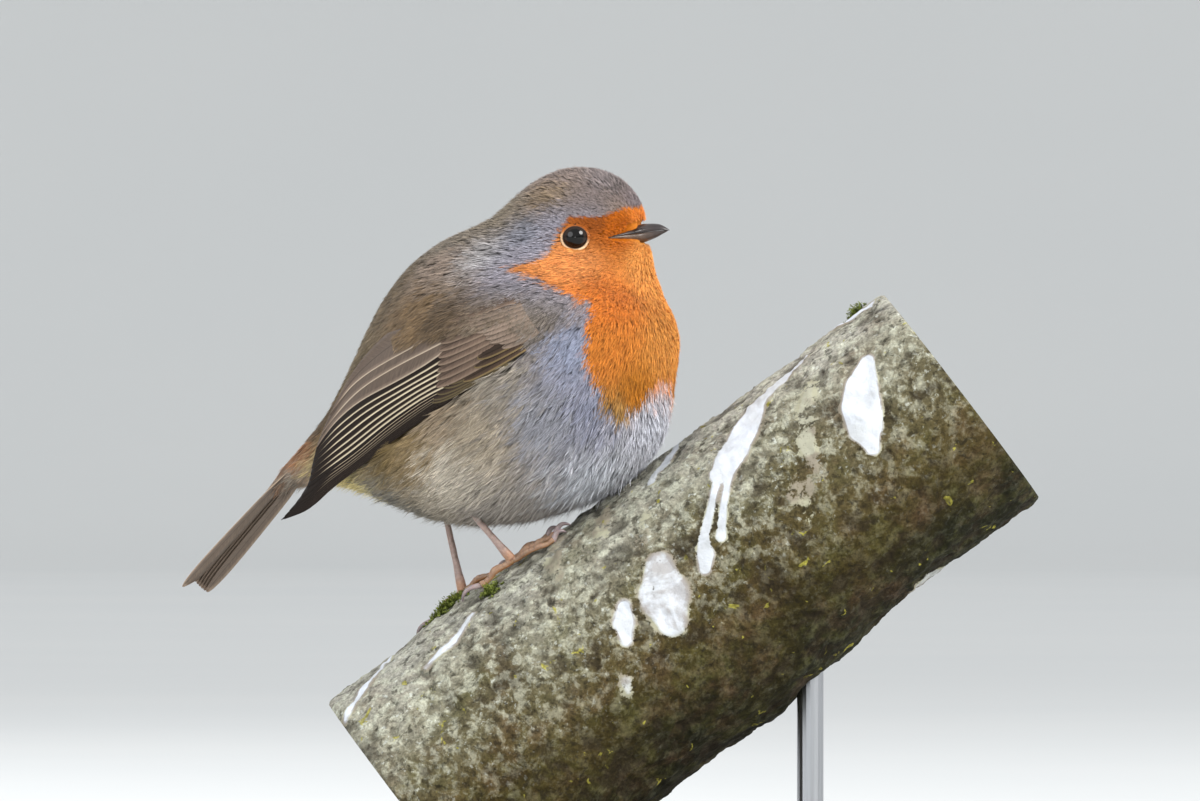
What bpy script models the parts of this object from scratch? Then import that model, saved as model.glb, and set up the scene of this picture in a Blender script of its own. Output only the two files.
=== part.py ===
"""A European robin standing on a short cut length of branch, which a plain display stand holds.

Metres and +Z up. The origin is the centre of the stand's underside. The robin is a still model in
life size. Its soft outline is the outside of the plumage. Lengths below are in millimetres, and
MM turns them into metres. The robin's own frame has +X forward, +Y to its left and +Z up, with its
origin at the middle of the trunk.
"""

import math

import bmesh
import bpy
import numpy as np
from mathutils import Matrix, Vector
from mathutils.bvhtree import BVHTree

MM = 0.001
GAP = 0.3  # between neighbouring solids
HALF_GAP = GAP / 2

# Where the robin stands, and which way it looks.
TRUNK_CENTRE = (-21.7, -0.5, 118.9)
BODY_YAW = -22.0  # degrees about +Z
HEAD_TURN = 10.0  # to its left of the body
NECK_AXIS_X = 12.0  # the head turns about an upright line here
BILL_PITCH = 9.0  # degrees upwards

# The body's outline in its own middle plane. Each row is one cross-section:
# back x and z, breast or belly x and z, half-width of its upper and of its lower part, share of HEAD_TURN.
BODY_SECTIONS = (
    (25.6, 29.6, 25.7, 26.0, 1.7, 1.9, 1.0),
    (24.8, 32.9, 26.4, 24.2, 2.7, 2.3, 1.0),
    (22.8, 35.8, 26.9, 22.6, 4.4, 2.8, 1.0),
    (19.4, 38.3, 27.2, 20.8, 6.6, 3.7, 1.0),
    (14.4, 39.6, 27.6, 19.2, 8.8, 5.0, 1.0),
    (8.8, 39.0, 28.0, 17.8, 10.0, 7.0, 1.0),
    (3.4, 36.2, 28.6, 16.2, 10.6, 9.9, 0.95),
    (-2.4, 31.2, 29.5, 13.4, 12.6, 13.8, 0.7),
    (-6.0, 28.9, 30.4, 11.8, 14.4, 17.6, 0.4),
    (-11.3, 26.9, 31.4, 8.4, 18.0, 21.2, 0.15),
    (-16.4, 24.2, 31.6, 4.0, 20.8, 23.2, 0.0),
    (-20.8, 20.5, 30.6, -1.0, 22.6, 24.2, 0.0),
    (-24.7, 15.8, 30.0, -7.0, 23.0, 24.8, 0.0),
    (-28.0, 10.7, 27.6, -14.0, 22.0, 24.6, 0.0),
    (-30.8, 5.6, 20.6, -20.4, 20.0, 23.6, 0.0),
    (-33.2, 0.9, 10.0, -25.0, 17.4, 21.6, 0.0),
    (-35.4, -3.0, -2.0, -27.4, 14.4, 19.0, 0.0),
    (-37.4, -6.2, -13.8, -27.0, 11.6, 15.6, 0.0),
    (-40.1, -9.6, -22.8, -23.8, 9.0, 11.4, 0.0),
    (-43.0, -12.9, -32.6, -20.4, 6.4, 7.4, 0.0),
    (-45.4, -15.5, -41.0, -19.8, 4.8, 5.0, 0.0),
    (-48.0, -18.2, -46.2, -20.8, 3.9, 3.9, 0.0),
)
SIDES_OF_SECTION = 26
STEPS_BETWEEN_SECTIONS = 2
# The sections at which the body is parted, counted in BODY_SECTIONS.
BODY_PARTS = {"head": (0, 7), "neck": (7, 10), "trunk": (10, 17), "rump": (17, 21)}

EYE_PLACE = (13.9, 7.8, 26.4)  # before the head turns; the other eye mirrors it
EYE_RADIUS = 3.1

# The bill, from the feathers to its tip: distance forward, height above the gape line, half-width.
BILL_BASE = (26.0, 0.0, 27.3)
UPPER_BILL = (
    (0.0, 1.5, 1.4),
    (1.4, 1.25, 1.1),
    (2.8, 0.8, 0.7),
    (4.1, 0.2, 0.25),
)
LOWER_BILL = (
    (0.0, -1.5, 1.3),
    (1.4, -1.2, 1.0),
    (2.7, -0.8, 0.6),
    (3.8, -0.4, 0.25),
)
BILL_HOOK = 0.4  # how far the upper bill's tip dips
BILL_SIDES = 14

# A folded wing seen from the side. Each row is one line across it, from the shoulder to the tip:
# upper edge x and z, lower edge x and z, each edge's least distance from the middle plane, thickness.
WING_LINES = (
    (13.4, 18.0, 17.8, 13.0, 14.0, 17.0, 1.2),
    (10.2, 18.0, 15.8, 8.6, 14.0, 17.0, 2.2),
    (2.2, 16.2, 10.2, 4.0, 14.0, 17.0, 2.8),
    (-8.0, 13.0, -0.4, -2.4, 13.0, 17.0, 2.8),
    (-18.6, 8.0, -9.6, -7.4, 11.0, 16.0, 2.4),
    (-26.4, 2.0, -18.0, -12.0, 10.0, 15.0, 2.0),
    (-31.7, -4.8, -25.6, -16.8, 10.0, 14.2, 1.7),
    (-35.6, -12.0, -32.0, -21.0, 10.4, 13.6, 1.4),
    (-38.6, -19.8, -37.0, -25.0, 11.4, 13.0, 1.1),
    (-43.0, -26.4, -42.8, -27.2, 12.4, 12.6, 0.7),
)
WING_STEPS_BETWEEN_LINES = 2
WING_CROSS_STEPS = 6
WING_PARTS = {"coverts": (0.0, 4.0), "flight": (4.0, 9.0)}  # counted in WING_LINES
WING_EDGE = 0.6
COVERT_STEP = 0.5  # how far the coverts stand above the flight feathers

# The closed tail, from the coverts to its tip.
TAIL_ROOT = (-47.3, 0.0, -20.0)
TAIL_SLOPE = 46.5  # degrees below level
TAIL_LENGTH = 27.4
TAIL_HALF_WIDTHS = (3.8, 4.7, 5.3, 5.7, 5.7, 4.9)
TAIL_MIDDLE_THICKNESS = 1.9
TAIL_EDGE_THICKNESS = 0.7
TAIL_ROOF = 1.3  # how much higher the middle feathers lie than the outer ones
TAIL_NOTCH = 1.8  # how far the middle feathers fall short of the outer ones
TAIL_CROSS_STEPS = 8

# The branch.
PERCH_RIDGE = (-20.9, 0.0, 84.5)  # a point on its upper line, under the right foot
PERCH_SLOPE = 37.5
PERCH_RADIUS = 26.0
PERCH_TAPER = 0.02  # radius lost for each millimetre upwards
PERCH_SPAN = (-45.0, 85.0)  # from that point, along the branch
PERCH_RINGS = 18
PERCH_SIDES = 28
# Swellings of the bark: along the branch, degrees round it from the upper line, reaches, height.
PERCH_SWELLINGS = (
    (24.0, 205.0, 11.0, 30.0, 2.2),
    (-13.0, -20.0, 9.0, 24.0, 2.0),
)

# The feet, on the branch: along it, and sideways to the robin's left of its upper line.
SHANK_RADIUS = 0.85
SHANK_SIDES = 10
TOE_SIDES = 8
TOE_STEPS = 8
CLAW_SIDES = 6
CLAW_STEPS = 7
CLAW_TIP = 0.26
FEET = {
    "right": {"ball": (-1.0, -4.6), "knee": (-11.2, -11.0, -18.0)},
    "left": {"ball": (-12.2, 7.4), "knee": (-18.8, 6.4, -18.0)},
}
# Each toe: how far forward and how far outward of the ball it ends, its root and tip radius.
TOES = {
    "middle": (9.4, 0.6, 0.85, 0.6),
    "inner": (8.0, -3.4, 0.75, 0.55),
    "outer": (8.6, 3.2, 0.75, 0.55),
    "hind": (-7.6, 0.0, 0.9, 0.65),
}
TOE_ARCH = 0.7
CLAW_LENGTH = {"middle": 4.0, "inner": 3.4, "outer": 3.4, "hind": 5.2}
CLAW_BOW = 1.3

# The stand.
BASE_SIZE = (134.0, 90.0, 10.0)
BASE_CORNER = 16.0
BASE_EDGE = 1.6
ROD_RADIUS = 2.5
ROD_SIDES = 20
ROD_PLACES = {"stand_rod_low": -21.0, "stand_rod_high": 34.0}
ROD_DEPTH_IN_BASE = 6.0
ROD_DEPTH_IN_PERCH = 9.0

COLOURS = {  # base colour, roughness, metallic
    "plumage_brown": ((0.20, 0.16, 0.11), 0.9, 0.0),
    "plumage_orange": ((0.80, 0.27, 0.05), 0.9, 0.0),
    "plumage_pale": ((0.42, 0.40, 0.37), 0.9, 0.0),
    "flight_feathers": ((0.12, 0.09, 0.07), 0.7, 0.0),
    "bill_horn": ((0.05, 0.04, 0.04), 0.35, 0.0),
    "eye_dark": ((0.01, 0.008, 0.008), 0.08, 0.0),
    "leg_skin": ((0.30, 0.15, 0.09), 0.5, 0.0),
    "claw_horn": ((0.22, 0.19, 0.18), 0.4, 0.0),
    "bark": ((0.19, 0.18, 0.13), 0.95, 0.0),
    "stand_wood": ((0.23, 0.13, 0.07), 0.5, 0.0),
    "stand_steel": ((0.55, 0.56, 0.58), 0.3, 1.0),
}


# ---------------------------------------------------------------- helpers


def clear_scene():
    for obj in list(bpy.data.objects):
        bpy.data.objects.remove(obj, do_unlink=True)


def make_materials():
    made = {}
    for name, (colour, roughness, metallic) in COLOURS.items():
        material = bpy.data.materials.new(name)
        material.use_nodes = True
        shader = material.node_tree.nodes["Principled BSDF"]
        shader.inputs["Base Color"].default_value = (*colour, 1.0)
        shader.inputs["Roughness"].default_value = roughness
        shader.inputs["Metallic"].default_value = metallic
        made[name] = material
    return made


def empty_at(name, place, turn_z=0.0, pitch=0.0, parent=None):
    empty = bpy.data.objects.new(name, None)
    bpy.context.scene.collection.objects.link(empty)
    empty.location = [value * MM for value in place]
    empty.rotation_euler = (0.0, math.radians(-pitch), math.radians(turn_z))
    empty.parent = parent
    return empty


def add_mesh(name, points, faces, material, parent=None, smooth=True):
    """A closed mesh object from points in millimetres, in its parent's frame."""
    mesh = bpy.data.meshes.new(name)
    mesh.from_pydata([tuple(float(v) * MM for v in p) for p in points], [], faces)
    work = bmesh.new()
    work.from_mesh(mesh)
    bmesh.ops.recalc_face_normals(work, faces=work.faces)
    work.to_mesh(mesh)
    work.free()
    if smooth:
        mesh.shade_smooth()
        mesh.set_sharp_from_angle(angle=math.radians(50))
    mesh.materials.append(material)
    obj = bpy.data.objects.new(name, mesh)
    bpy.context.scene.collection.objects.link(obj)
    obj.parent = parent
    return obj


def add_cutter(name, points, faces, parent=None):
    cutter = add_mesh(name, points, faces, bpy.data.materials["bark"], parent)
    cutter.hide_render = True
    cutter.display_type = "WIRE"
    return cutter


def boolean(obj, other, operation="DIFFERENCE"):
    modifier = obj.modifiers.new(operation.title(), "BOOLEAN")
    modifier.operation = operation
    modifier.object = other
    modifier.solver = "EXACT"


def smooth_rows(rows, steps):
    """Rows of numbers with others put between them, on a Catmull-Rom curve through each column."""
    rows = np.array(rows, float)
    padded = np.vstack([2 * rows[0] - rows[1], rows, 2 * rows[-1] - rows[-2]])
    found = []
    for i in range(len(rows) - 1):
        a, b, c, d = padded[i : i + 4]
        for t in np.arange(steps) / steps:
            bend = (c - a) * t + (2 * a - 5 * b + 4 * c - d) * t**2 + (3 * b - a - 3 * c + d) * t**3
            found.append(b + bend / 2)
    found.append(rows[-1])
    return np.array(found)


def loft(rings):
    """Points and faces of a closed solid through rings of equal length, with flat ends."""
    count = len(rings[0])
    points = [p for ring in rings for p in ring]
    faces = [
        (r * count + k, r * count + (k + 1) % count, (r + 1) * count + (k + 1) % count, (r + 1) * count + k)
        for r in range(len(rings) - 1)
        for k in range(count)
    ]
    faces.append(tuple(range(count)))
    faces.append(tuple((len(rings) - 1) * count + k for k in range(count)))
    return points, faces


def tube(path, radii, sides):
    """A loft of round rings along a path."""
    turns = [2 * math.pi * k / sides for k in range(sides)]
    rings = []
    for i, (centre, radius) in enumerate(zip(path, radii)):
        along = (path[min(i + 1, len(path) - 1)] - path[max(i - 1, 0)]).normalized()
        across = along.cross(Vector((0, 0, 1))).normalized()
        up = across.cross(along).normalized()
        rings.append([centre + (across * math.cos(turn) + up * math.sin(turn)) * radius for turn in turns])
    return loft(rings)


# ---------------------------------------------------------------- head, neck, trunk and rump


def turned(point, share=1.0):
    """A point of the head after the head has turned by that share."""
    turn = Matrix.Rotation(math.radians(HEAD_TURN * share), 3, "Z")
    pivot = Vector((NECK_AXIS_X, 0, 0))
    return pivot + turn @ (Vector(point) - pivot)


def section_ring(row, grow=0.0, shift=0.0):
    """One cross-section of the body. grow widens it, and shift moves it along the body."""
    back = Vector((row[0], 0, row[1]))
    breast = Vector((row[2], 0, row[3]))
    down = (breast - back).normalized()
    forward = down.cross(Vector((0, 1, 0)))
    back -= down * grow
    breast += down * grow
    ring = []
    for k in range(SIDES_OF_SECTION):
        angle = 2 * math.pi * k / SIDES_OF_SECTION
        depth = (1 - math.cos(angle)) / 2
        half_width = row[4] + (row[5] - row[4]) * depth + grow
        point = back + (breast - back) * depth - forward * shift
        point.y = math.sin(angle) * half_width
        ring.append(turned(point, row[6]))
    return ring


def body_rings(first, last, grow=0.0, gap_first=True, gap_last=True):
    """Rings from one of BODY_SECTIONS to another, drawn in by half a gap where the body is parted."""
    rows = smooth_rows(BODY_SECTIONS, STEPS_BETWEEN_SECTIONS)
    chosen = rows[first * STEPS_BETWEEN_SECTIONS : last * STEPS_BETWEEN_SECTIONS + 1]
    shifts = [0.0] * len(chosen)
    shifts[0] = HALF_GAP if gap_first else 0.0
    shifts[-1] = -HALF_GAP if gap_last else 0.0
    return [section_ring(row, grow, shift) for row, shift in zip(chosen, shifts)]


def add_body(robin, materials):
    finish = {"head": "plumage_orange", "neck": "plumage_orange", "trunk": "plumage_pale"}
    parts = {}
    last_section = len(BODY_SECTIONS) - 1
    for name, (first, last) in BODY_PARTS.items():
        rings = body_rings(first, last, gap_first=first > 0, gap_last=last < last_section)
        material = materials[finish.get(name, "plumage_brown")]
        parts[name] = add_mesh(name, *loft(rings), material, robin)
    return parts


def add_body_cutter(robin):
    """The whole body grown by one gap, which cuts what lies against it."""
    rings = body_rings(0, len(BODY_SECTIONS) - 1, GAP, gap_first=False, gap_last=False)
    return add_cutter("cut_body", *loft(rings), robin)


def sphere_rings(centre, radius, rings=8, sides=14):
    """Rings of a sphere about the Y axis, for loft()."""
    found = []
    for tilt in (math.pi * (i + 0.5) / rings for i in range(rings)):
        turns = [2 * math.pi * k / sides for k in range(sides)]
        round_y = [Vector((math.cos(turn), 0, math.sin(turn))) * math.sin(tilt) for turn in turns]
        found.append([Vector(centre) + (v + Vector((0, math.cos(tilt), 0))) * radius for v in round_y])
    return found


def add_eyes(head, turn, materials):
    for side, sign in (("left", 1), ("right", -1)):
        place = (EYE_PLACE[0] - NECK_AXIS_X, EYE_PLACE[1] * sign, EYE_PLACE[2])
        add_mesh(f"eye_{side}", *loft(sphere_rings(place, EYE_RADIUS)), materials["eye_dark"], turn)
        socket = add_cutter(f"cut_socket_{side}", *loft(sphere_rings(place, EYE_RADIUS + GAP)), turn)
        boolean(head, socket)


def add_bill(turn, materials):
    base = Vector((BILL_BASE[0] - NECK_AXIS_X, BILL_BASE[1], BILL_BASE[2]))
    bill = empty_at("bill_pivot", base, pitch=BILL_PITCH, parent=turn)
    length = UPPER_BILL[-1][0]
    for name, rows, up in (("bill_upper", UPPER_BILL, 1), ("bill_lower", LOWER_BILL, -1)):
        rings = []
        for forward, height, half_width in smooth_rows(rows, 2):
            dip = -BILL_HOOK * (forward / length) ** 3
            gape = dip + up * HALF_GAP
            ring = []
            for k in range(BILL_SIDES):
                angle = math.pi * k / (BILL_SIDES - 1)
                rise = height * abs(math.sin(angle)) ** 0.8
                ring.append((forward, half_width * math.cos(angle), gape + rise))
            rings.append(ring)
        add_mesh(name, *loft(rings), materials["bill_horn"], bill)


# ---------------------------------------------------------------- wings


def side_surface(body):
    """A function that gives the body's half-width at x and z, or None beside it."""
    trees = []
    for obj in body.values():
        points = [v.co / MM for v in obj.data.vertices]
        trees.append(BVHTree.FromPolygons(points, [tuple(p.vertices) for p in obj.data.polygons]))

    def half_width(x, z):
        far = 80.0
        hits = [tree.ray_cast(Vector((x, -far, z)), Vector((0, 1, 0)))[0] for tree in trees]
        return max((-hit.y for hit in hits if hit), default=None)

    return half_width


def wing_grids(body):
    """The wing's inner and outer faces as grids of (x, distance from the middle plane, z)."""
    half_width = side_surface(body)
    lines = smooth_rows(WING_LINES, WING_STEPS_BETWEEN_LINES)
    across = np.linspace(0.0, 1.0, WING_CROSS_STEPS + 1)
    x = lines[:, 0:1] + (lines[:, 2:3] - lines[:, 0:1]) * across
    z = lines[:, 1:2] + (lines[:, 3:4] - lines[:, 1:2]) * across
    least = np.array([[half_width(*place) or 0.0 for place in zip(*line)] for line in zip(x, z)])
    stand_off = lines[:, 4:5] + (lines[:, 5:6] - lines[:, 4:5]) * across
    inner = np.maximum(least + GAP, stand_off)
    for _ in range(6):
        spread = inner.copy()
        spread[1:-1] = (inner[:-2] + 2 * inner[1:-1] + inner[2:]) / 4
        spread[:, 1:-1] = (spread[:, :-2] + 2 * spread[:, 1:-1] + spread[:, 2:]) / 4
        inner = np.maximum(spread, least + GAP)
    swell = np.abs(np.sin(math.pi * across)) ** 0.6
    thickness = WING_EDGE + (lines[:, 6:7] - WING_EDGE) * swell
    return x, z, inner, inner + thickness


def add_wings(body, robin, cutter, materials):
    x, z, inner, outer = wing_grids(body)
    across = WING_CROSS_STEPS + 1
    for part, (first, last) in WING_PARTS.items():
        begin = int(first * WING_STEPS_BETWEEN_LINES)
        end = int(last * WING_STEPS_BETWEEN_LINES) + 1
        raised = COVERT_STEP if part == "coverts" else 0.0
        material = materials["plumage_brown" if part == "coverts" else "flight_feathers"]
        for side, sign in (("left", 1), ("right", -1)):
            rings = []
            for i in range(begin, end):
                shift = HALF_GAP * ((i == begin and begin > 0) - (i == end - 1 and part == "coverts"))
                face = [(x[i, j] - shift, sign * (outer[i, j] + raised), z[i, j]) for j in range(across)]
                back = [(x[i, j] - shift, sign * inner[i, j], z[i, j]) for j in reversed(range(across))]
                rings.append(face + back)
            wing = add_mesh(f"wing_{side}_{part}", *loft(rings), material, robin)
            boolean(wing, cutter)


# ---------------------------------------------------------------- tail


def add_tail(robin, materials):
    pivot = empty_at("tail_pivot", TAIL_ROOT, pitch=TAIL_SLOPE, parent=robin)
    steps = len(TAIL_HALF_WIDTHS)
    rings = []
    for i, half in enumerate(TAIL_HALF_WIDTHS):
        share = i / (steps - 1)
        thick_middle = TAIL_MIDDLE_THICKNESS * (1 - 0.45 * share)
        top, under = [], []
        for k in range(TAIL_CROSS_STEPS + 1):
            side = 2 * k / TAIL_CROSS_STEPS - 1
            notch = TAIL_NOTCH * (1 - abs(side)) if i == steps - 1 else 0.0
            edge = 0.9 * max(0.0, abs(side) - 0.7) / 0.3 if i == steps - 1 else 0.0
            back = -GAP - (TAIL_LENGTH - GAP) * share + notch + edge
            roof = TAIL_ROOF * (1 - side**2)
            thick = TAIL_EDGE_THICKNESS + (thick_middle - TAIL_EDGE_THICKNESS) * (1 - side**2)
            top.append((back, side * half, roof))
            under.append((back, side * half, roof - thick))
        rings.append(top + under[::-1])
    add_mesh("tail", *loft(rings), materials["flight_feathers"], pivot)


# ---------------------------------------------------------------- branch


def perch_radius(along, degrees):
    """The branch's radius, without bark, at a distance along it and an angle round it."""
    radius = PERCH_RADIUS - PERCH_TAPER * along
    off = math.radians(degrees)
    belly = (1 - math.cos(off)) / 2  # 0 along the upper line, where the robin stands
    radius += belly * (0.7 * math.sin(along / 13.0 + 2 * off) + 0.5 * math.sin(along / 7.0 - 3 * off))
    for place, round_at, reach, round_reach, height in PERCH_SWELLINGS:
        turn = (degrees - round_at + 180) % 360 - 180
        radius += height * math.exp(-(((along - place) / reach) ** 2) - (turn / round_reach) ** 2)
    return radius


def perch_rings(grow=0.0):
    rings = []
    for along in np.linspace(*PERCH_SPAN, PERCH_RINGS):
        ring = []
        for k in range(PERCH_SIDES):
            degrees = 360 * k / PERCH_SIDES
            radius = perch_radius(along, degrees) + grow
            angle = math.radians(degrees)
            ring.append((along, -radius * math.sin(angle), radius * math.cos(angle)))
        rings.append(ring)
    return rings


def add_perch(materials):
    """The branch's frame has +X up along it, +Z out of its upper line and +Y to the robin's left."""
    slope = math.radians(PERCH_SLOPE)
    axis_place = (
        PERCH_RIDGE[0] + math.sin(slope) * PERCH_RADIUS,
        PERCH_RIDGE[1],
        PERCH_RIDGE[2] - math.cos(slope) * PERCH_RADIUS,
    )
    pivot = empty_at("perch_pivot", axis_place, pitch=PERCH_SLOPE)
    return pivot, add_mesh("perch", *loft(perch_rings()), materials["bark"], pivot)


# ---------------------------------------------------------------- legs and feet


def on_bark(along, aside, height):
    """A point above the bark, in the branch's frame."""
    angle = -aside / PERCH_RADIUS
    radius = perch_radius(along, math.degrees(angle)) + height
    return Vector((along, -radius * math.sin(angle), radius * math.cos(angle)))


def toe_path(ball, toe, side):
    """Places of a toe's middle line as (along, aside, height above the bark), and its radii."""
    forward, outward, root, tip = TOES[toe]
    outward *= 1 if side == "left" else -1
    places, radii = [], []
    for i in range(TOE_STEPS + 1):
        share = i / TOE_STEPS
        radius = root + (tip - root) * share
        arch = TOE_ARCH * math.sin(math.pi * min(1.0, share * 1.1)) ** 2
        heel = 0.5 * (1 - share) ** 3
        along = ball[0] + forward * share
        aside = ball[1] + outward * math.sin(share * math.pi / 2)
        places.append((along, aside, GAP + radius * 1.12 + arch + heel))
        radii.append(radius * (1 + 0.1 * math.cos(share * 6 * math.pi)))
    return places, radii


def claw_path(ball, toe, side):
    """A claw that curves from the toe's end down to the bark, given like toe_path."""
    places, _ = toe_path(ball, toe, side)
    along, aside, height = places[-1]
    forward = 1 if TOES[toe][0] > 0 else -1
    reach = CLAW_LENGTH[toe] - CLAW_BOW / 2
    found, radii = [], []
    for i in range(CLAW_STEPS + 1):
        share = i / CLAW_STEPS
        radius = CLAW_TIP + TOES[toe][3] * 0.6 * (1 - share) ** 0.75
        bow = height + CLAW_BOW * 0.8 * math.sin(math.pi * share)
        drop = bow * (1 - share**2) + (GAP + CLAW_TIP) * share**2
        ahead = GAP + reach * math.sin(share * math.pi / 2)
        found.append((along + forward * ahead, aside, max(drop, GAP + radius)))
        radii.append(radius)
    return found, radii


def on_bark_tube(path, sides):
    places, radii = path
    return tube([on_bark(*place) for place in places], radii, sides)


def add_foot(side, ball, perch, materials):
    """A foot whose toes are joined at its ball, and its claws. Returns the foot."""
    skin = materials["leg_skin"]
    foot = add_mesh(f"foot_{side}", *on_bark_tube(toe_path(ball, "middle", side), TOE_SIDES), skin, perch)
    for toe in ("inner", "outer", "hind"):
        joined = add_cutter(f"join_{side}_{toe}", *on_bark_tube(toe_path(ball, toe, side), TOE_SIDES), perch)
        boolean(foot, joined, "UNION")
    for toe in TOES:
        claw = on_bark_tube(claw_path(ball, toe, side), CLAW_SIDES)
        add_mesh(f"claw_{side}_{toe}", *claw, materials["claw_horn"], perch)
    return foot


def add_shank(side, ball, knee, foot, robin, perch, body_cutter, materials):
    """The bare leg from the ball of the foot up to the belly feathers. The foot is cut clear of it."""
    bpy.context.view_layer.update()
    to_robin = robin.matrix_world.inverted() @ perch.matrix_world
    low = to_robin @ (on_bark(ball[0], ball[1], GAP + 1.3) * MM) / MM
    high = Vector(knee)
    path = [low.lerp(high, share) for share in (0.0, 0.08, 0.2, 0.5, 0.8, 1.0)]
    radii = [SHANK_RADIUS * k for k in (1.25, 1.2, 1.0, 0.9, 1.0, 1.25)]
    shank = add_mesh(f"shank_{side}", *tube(path, radii, SHANK_SIDES), materials["leg_skin"], robin)
    boolean(shank, body_cutter)
    grown = [radius + GAP for radius in radii]
    boolean(foot, add_cutter(f"cut_shank_{side}", *tube(path, grown, SHANK_SIDES), robin))


def add_legs(robin, perch, body_cutter, materials):
    for side, place in FEET.items():
        foot = add_foot(side, place["ball"], perch, materials)
        add_shank(side, place["ball"], place["knee"], foot, robin, perch, body_cutter, materials)


# ---------------------------------------------------------------- stand


def rod_rings(x, bottom, top, radius):
    turns = [2 * math.pi * k / ROD_SIDES for k in range(ROD_SIDES)]
    return [[(x + radius * math.cos(a), radius * math.sin(a), z) for a in turns] for z in (bottom, top)]


def add_base(materials):
    shape = bmesh.new()
    length, width, height = (value * MM for value in BASE_SIZE)
    bmesh.ops.create_cube(shape, size=1.0, matrix=Matrix.Diagonal((length, width, height, 1)))
    bmesh.ops.translate(shape, verts=shape.verts, vec=(0, 0, height / 2))
    upright = [e for e in shape.edges if abs(e.verts[0].co.z - e.verts[1].co.z) > height / 2]
    bmesh.ops.bevel(shape, geom=upright, offset=BASE_CORNER * MM, segments=7, affect="EDGES", profile=0.5)
    rim = [e for e in shape.edges if all(v.co.z > height * 0.9 for v in e.verts)]
    bmesh.ops.bevel(shape, geom=rim, offset=BASE_EDGE * MM, segments=2, affect="EDGES", profile=0.5)
    mesh = bpy.data.meshes.new("stand_base")
    shape.to_mesh(mesh)
    shape.free()
    mesh.materials.append(materials["stand_wood"])
    base = bpy.data.objects.new("stand_base", mesh)
    bpy.context.scene.collection.objects.link(base)
    return base


def add_stand(perch, materials):
    """A flat base, and two rods that reach a little way into the branch."""
    base = add_base(materials)
    slope = math.radians(PERCH_SLOPE)
    for name, x in ROD_PLACES.items():
        along = (x - PERCH_RIDGE[0] - math.sin(slope) * PERCH_RADIUS) / math.cos(slope)
        axis_z = PERCH_RIDGE[2] - math.cos(slope) * PERCH_RADIUS + along * math.sin(slope)
        top = axis_z - perch_radius(along, 180.0) / math.cos(slope) + ROD_DEPTH_IN_PERCH
        bottom = BASE_SIZE[2] - ROD_DEPTH_IN_BASE
        add_mesh(name, *loft(rod_rings(x, bottom, top, ROD_RADIUS)), materials["stand_steel"])
        hole = add_cutter(f"cut_{name}", *loft(rod_rings(x, bottom - GAP, top + GAP, ROD_RADIUS + GAP)))
        boolean(base, hole)
        boolean(perch, hole)


def main():
    clear_scene()
    materials = make_materials()
    robin = empty_at("robin", TRUNK_CENTRE, turn_z=BODY_YAW)
    turn = empty_at("head_turn", (NECK_AXIS_X, 0, 0), turn_z=HEAD_TURN, parent=robin)
    body = add_body(robin, materials)
    body_cutter = add_body_cutter(robin)
    add_eyes(body["head"], turn, materials)
    add_bill(turn, materials)
    add_wings(body, robin, body_cutter, materials)
    add_tail(robin, materials)
    perch_pivot, perch = add_perch(materials)
    boolean(body["trunk"], add_cutter("cut_perch", *loft(perch_rings(GAP)), perch_pivot))
    add_legs(robin, perch_pivot, body_cutter, materials)
    add_stand(perch, materials)


main()
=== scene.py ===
"""The looks of a robin on its branch and stand: feathers of solid mesh over one skin, and finishes.

Lengths are in millimetres, and MM turns them into metres. The robin's own frame has +X forward, +Y to
its left and +Z up. A side place in it is (forward, away from the middle plane, up), for either side.
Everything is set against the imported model, so each piece lies where its solids are.
"""

import math

import bmesh
import bpy
import numpy as np
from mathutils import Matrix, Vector
from mathutils.bvhtree import BVHTree
from mathutils.kdtree import KDTree


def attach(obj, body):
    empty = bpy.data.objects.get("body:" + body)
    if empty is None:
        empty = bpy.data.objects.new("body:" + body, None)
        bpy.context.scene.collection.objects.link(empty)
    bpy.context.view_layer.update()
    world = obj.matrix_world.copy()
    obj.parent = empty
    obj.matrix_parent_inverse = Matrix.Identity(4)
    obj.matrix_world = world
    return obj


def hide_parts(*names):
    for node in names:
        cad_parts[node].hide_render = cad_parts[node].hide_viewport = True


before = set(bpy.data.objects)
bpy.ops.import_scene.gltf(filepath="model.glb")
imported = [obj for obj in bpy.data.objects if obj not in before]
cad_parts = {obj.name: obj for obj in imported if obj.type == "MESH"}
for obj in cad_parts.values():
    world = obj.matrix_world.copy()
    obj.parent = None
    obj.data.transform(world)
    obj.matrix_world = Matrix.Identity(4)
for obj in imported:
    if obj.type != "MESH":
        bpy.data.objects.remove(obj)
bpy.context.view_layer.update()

MM = 0.001

# ---------------------------------------------------------------- small helpers


def smoothstep(low, high, value):
    share = np.clip((value - low) / (high - low), 0.0, 1.0)
    return share * share * (3 - 2 * share)


def unit(vectors):
    return vectors / np.maximum(np.linalg.norm(vectors, axis=-1, keepdims=True), 1e-9)


def mix(a, b, share):
    share = np.asarray(share)[..., None]
    return a * (1 - share) + b * share


def between(ends, share):
    """The value a share of the way from the first of two ends to the second."""
    first, last = ends
    return first + (last - first) * share


def read(table, at):
    """Values at places, from a table of (place, value) rows."""
    return np.interp(at, *zip(*table))


def turned(x, y, angle):
    """x and y after a turn by an angle, from x towards y."""
    return x * np.cos(angle) - y * np.sin(angle), x * np.sin(angle) + y * np.cos(angle)


def rgb(red, green, blue):
    """A colour given as it looks, from 0 to 255, as the linear values that a shader takes."""
    c = np.array((red, green, blue)) / 255
    return np.where(c <= 0.04045, c / 12.92, ((c + 0.055) / 1.055) ** 2.4)


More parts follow.
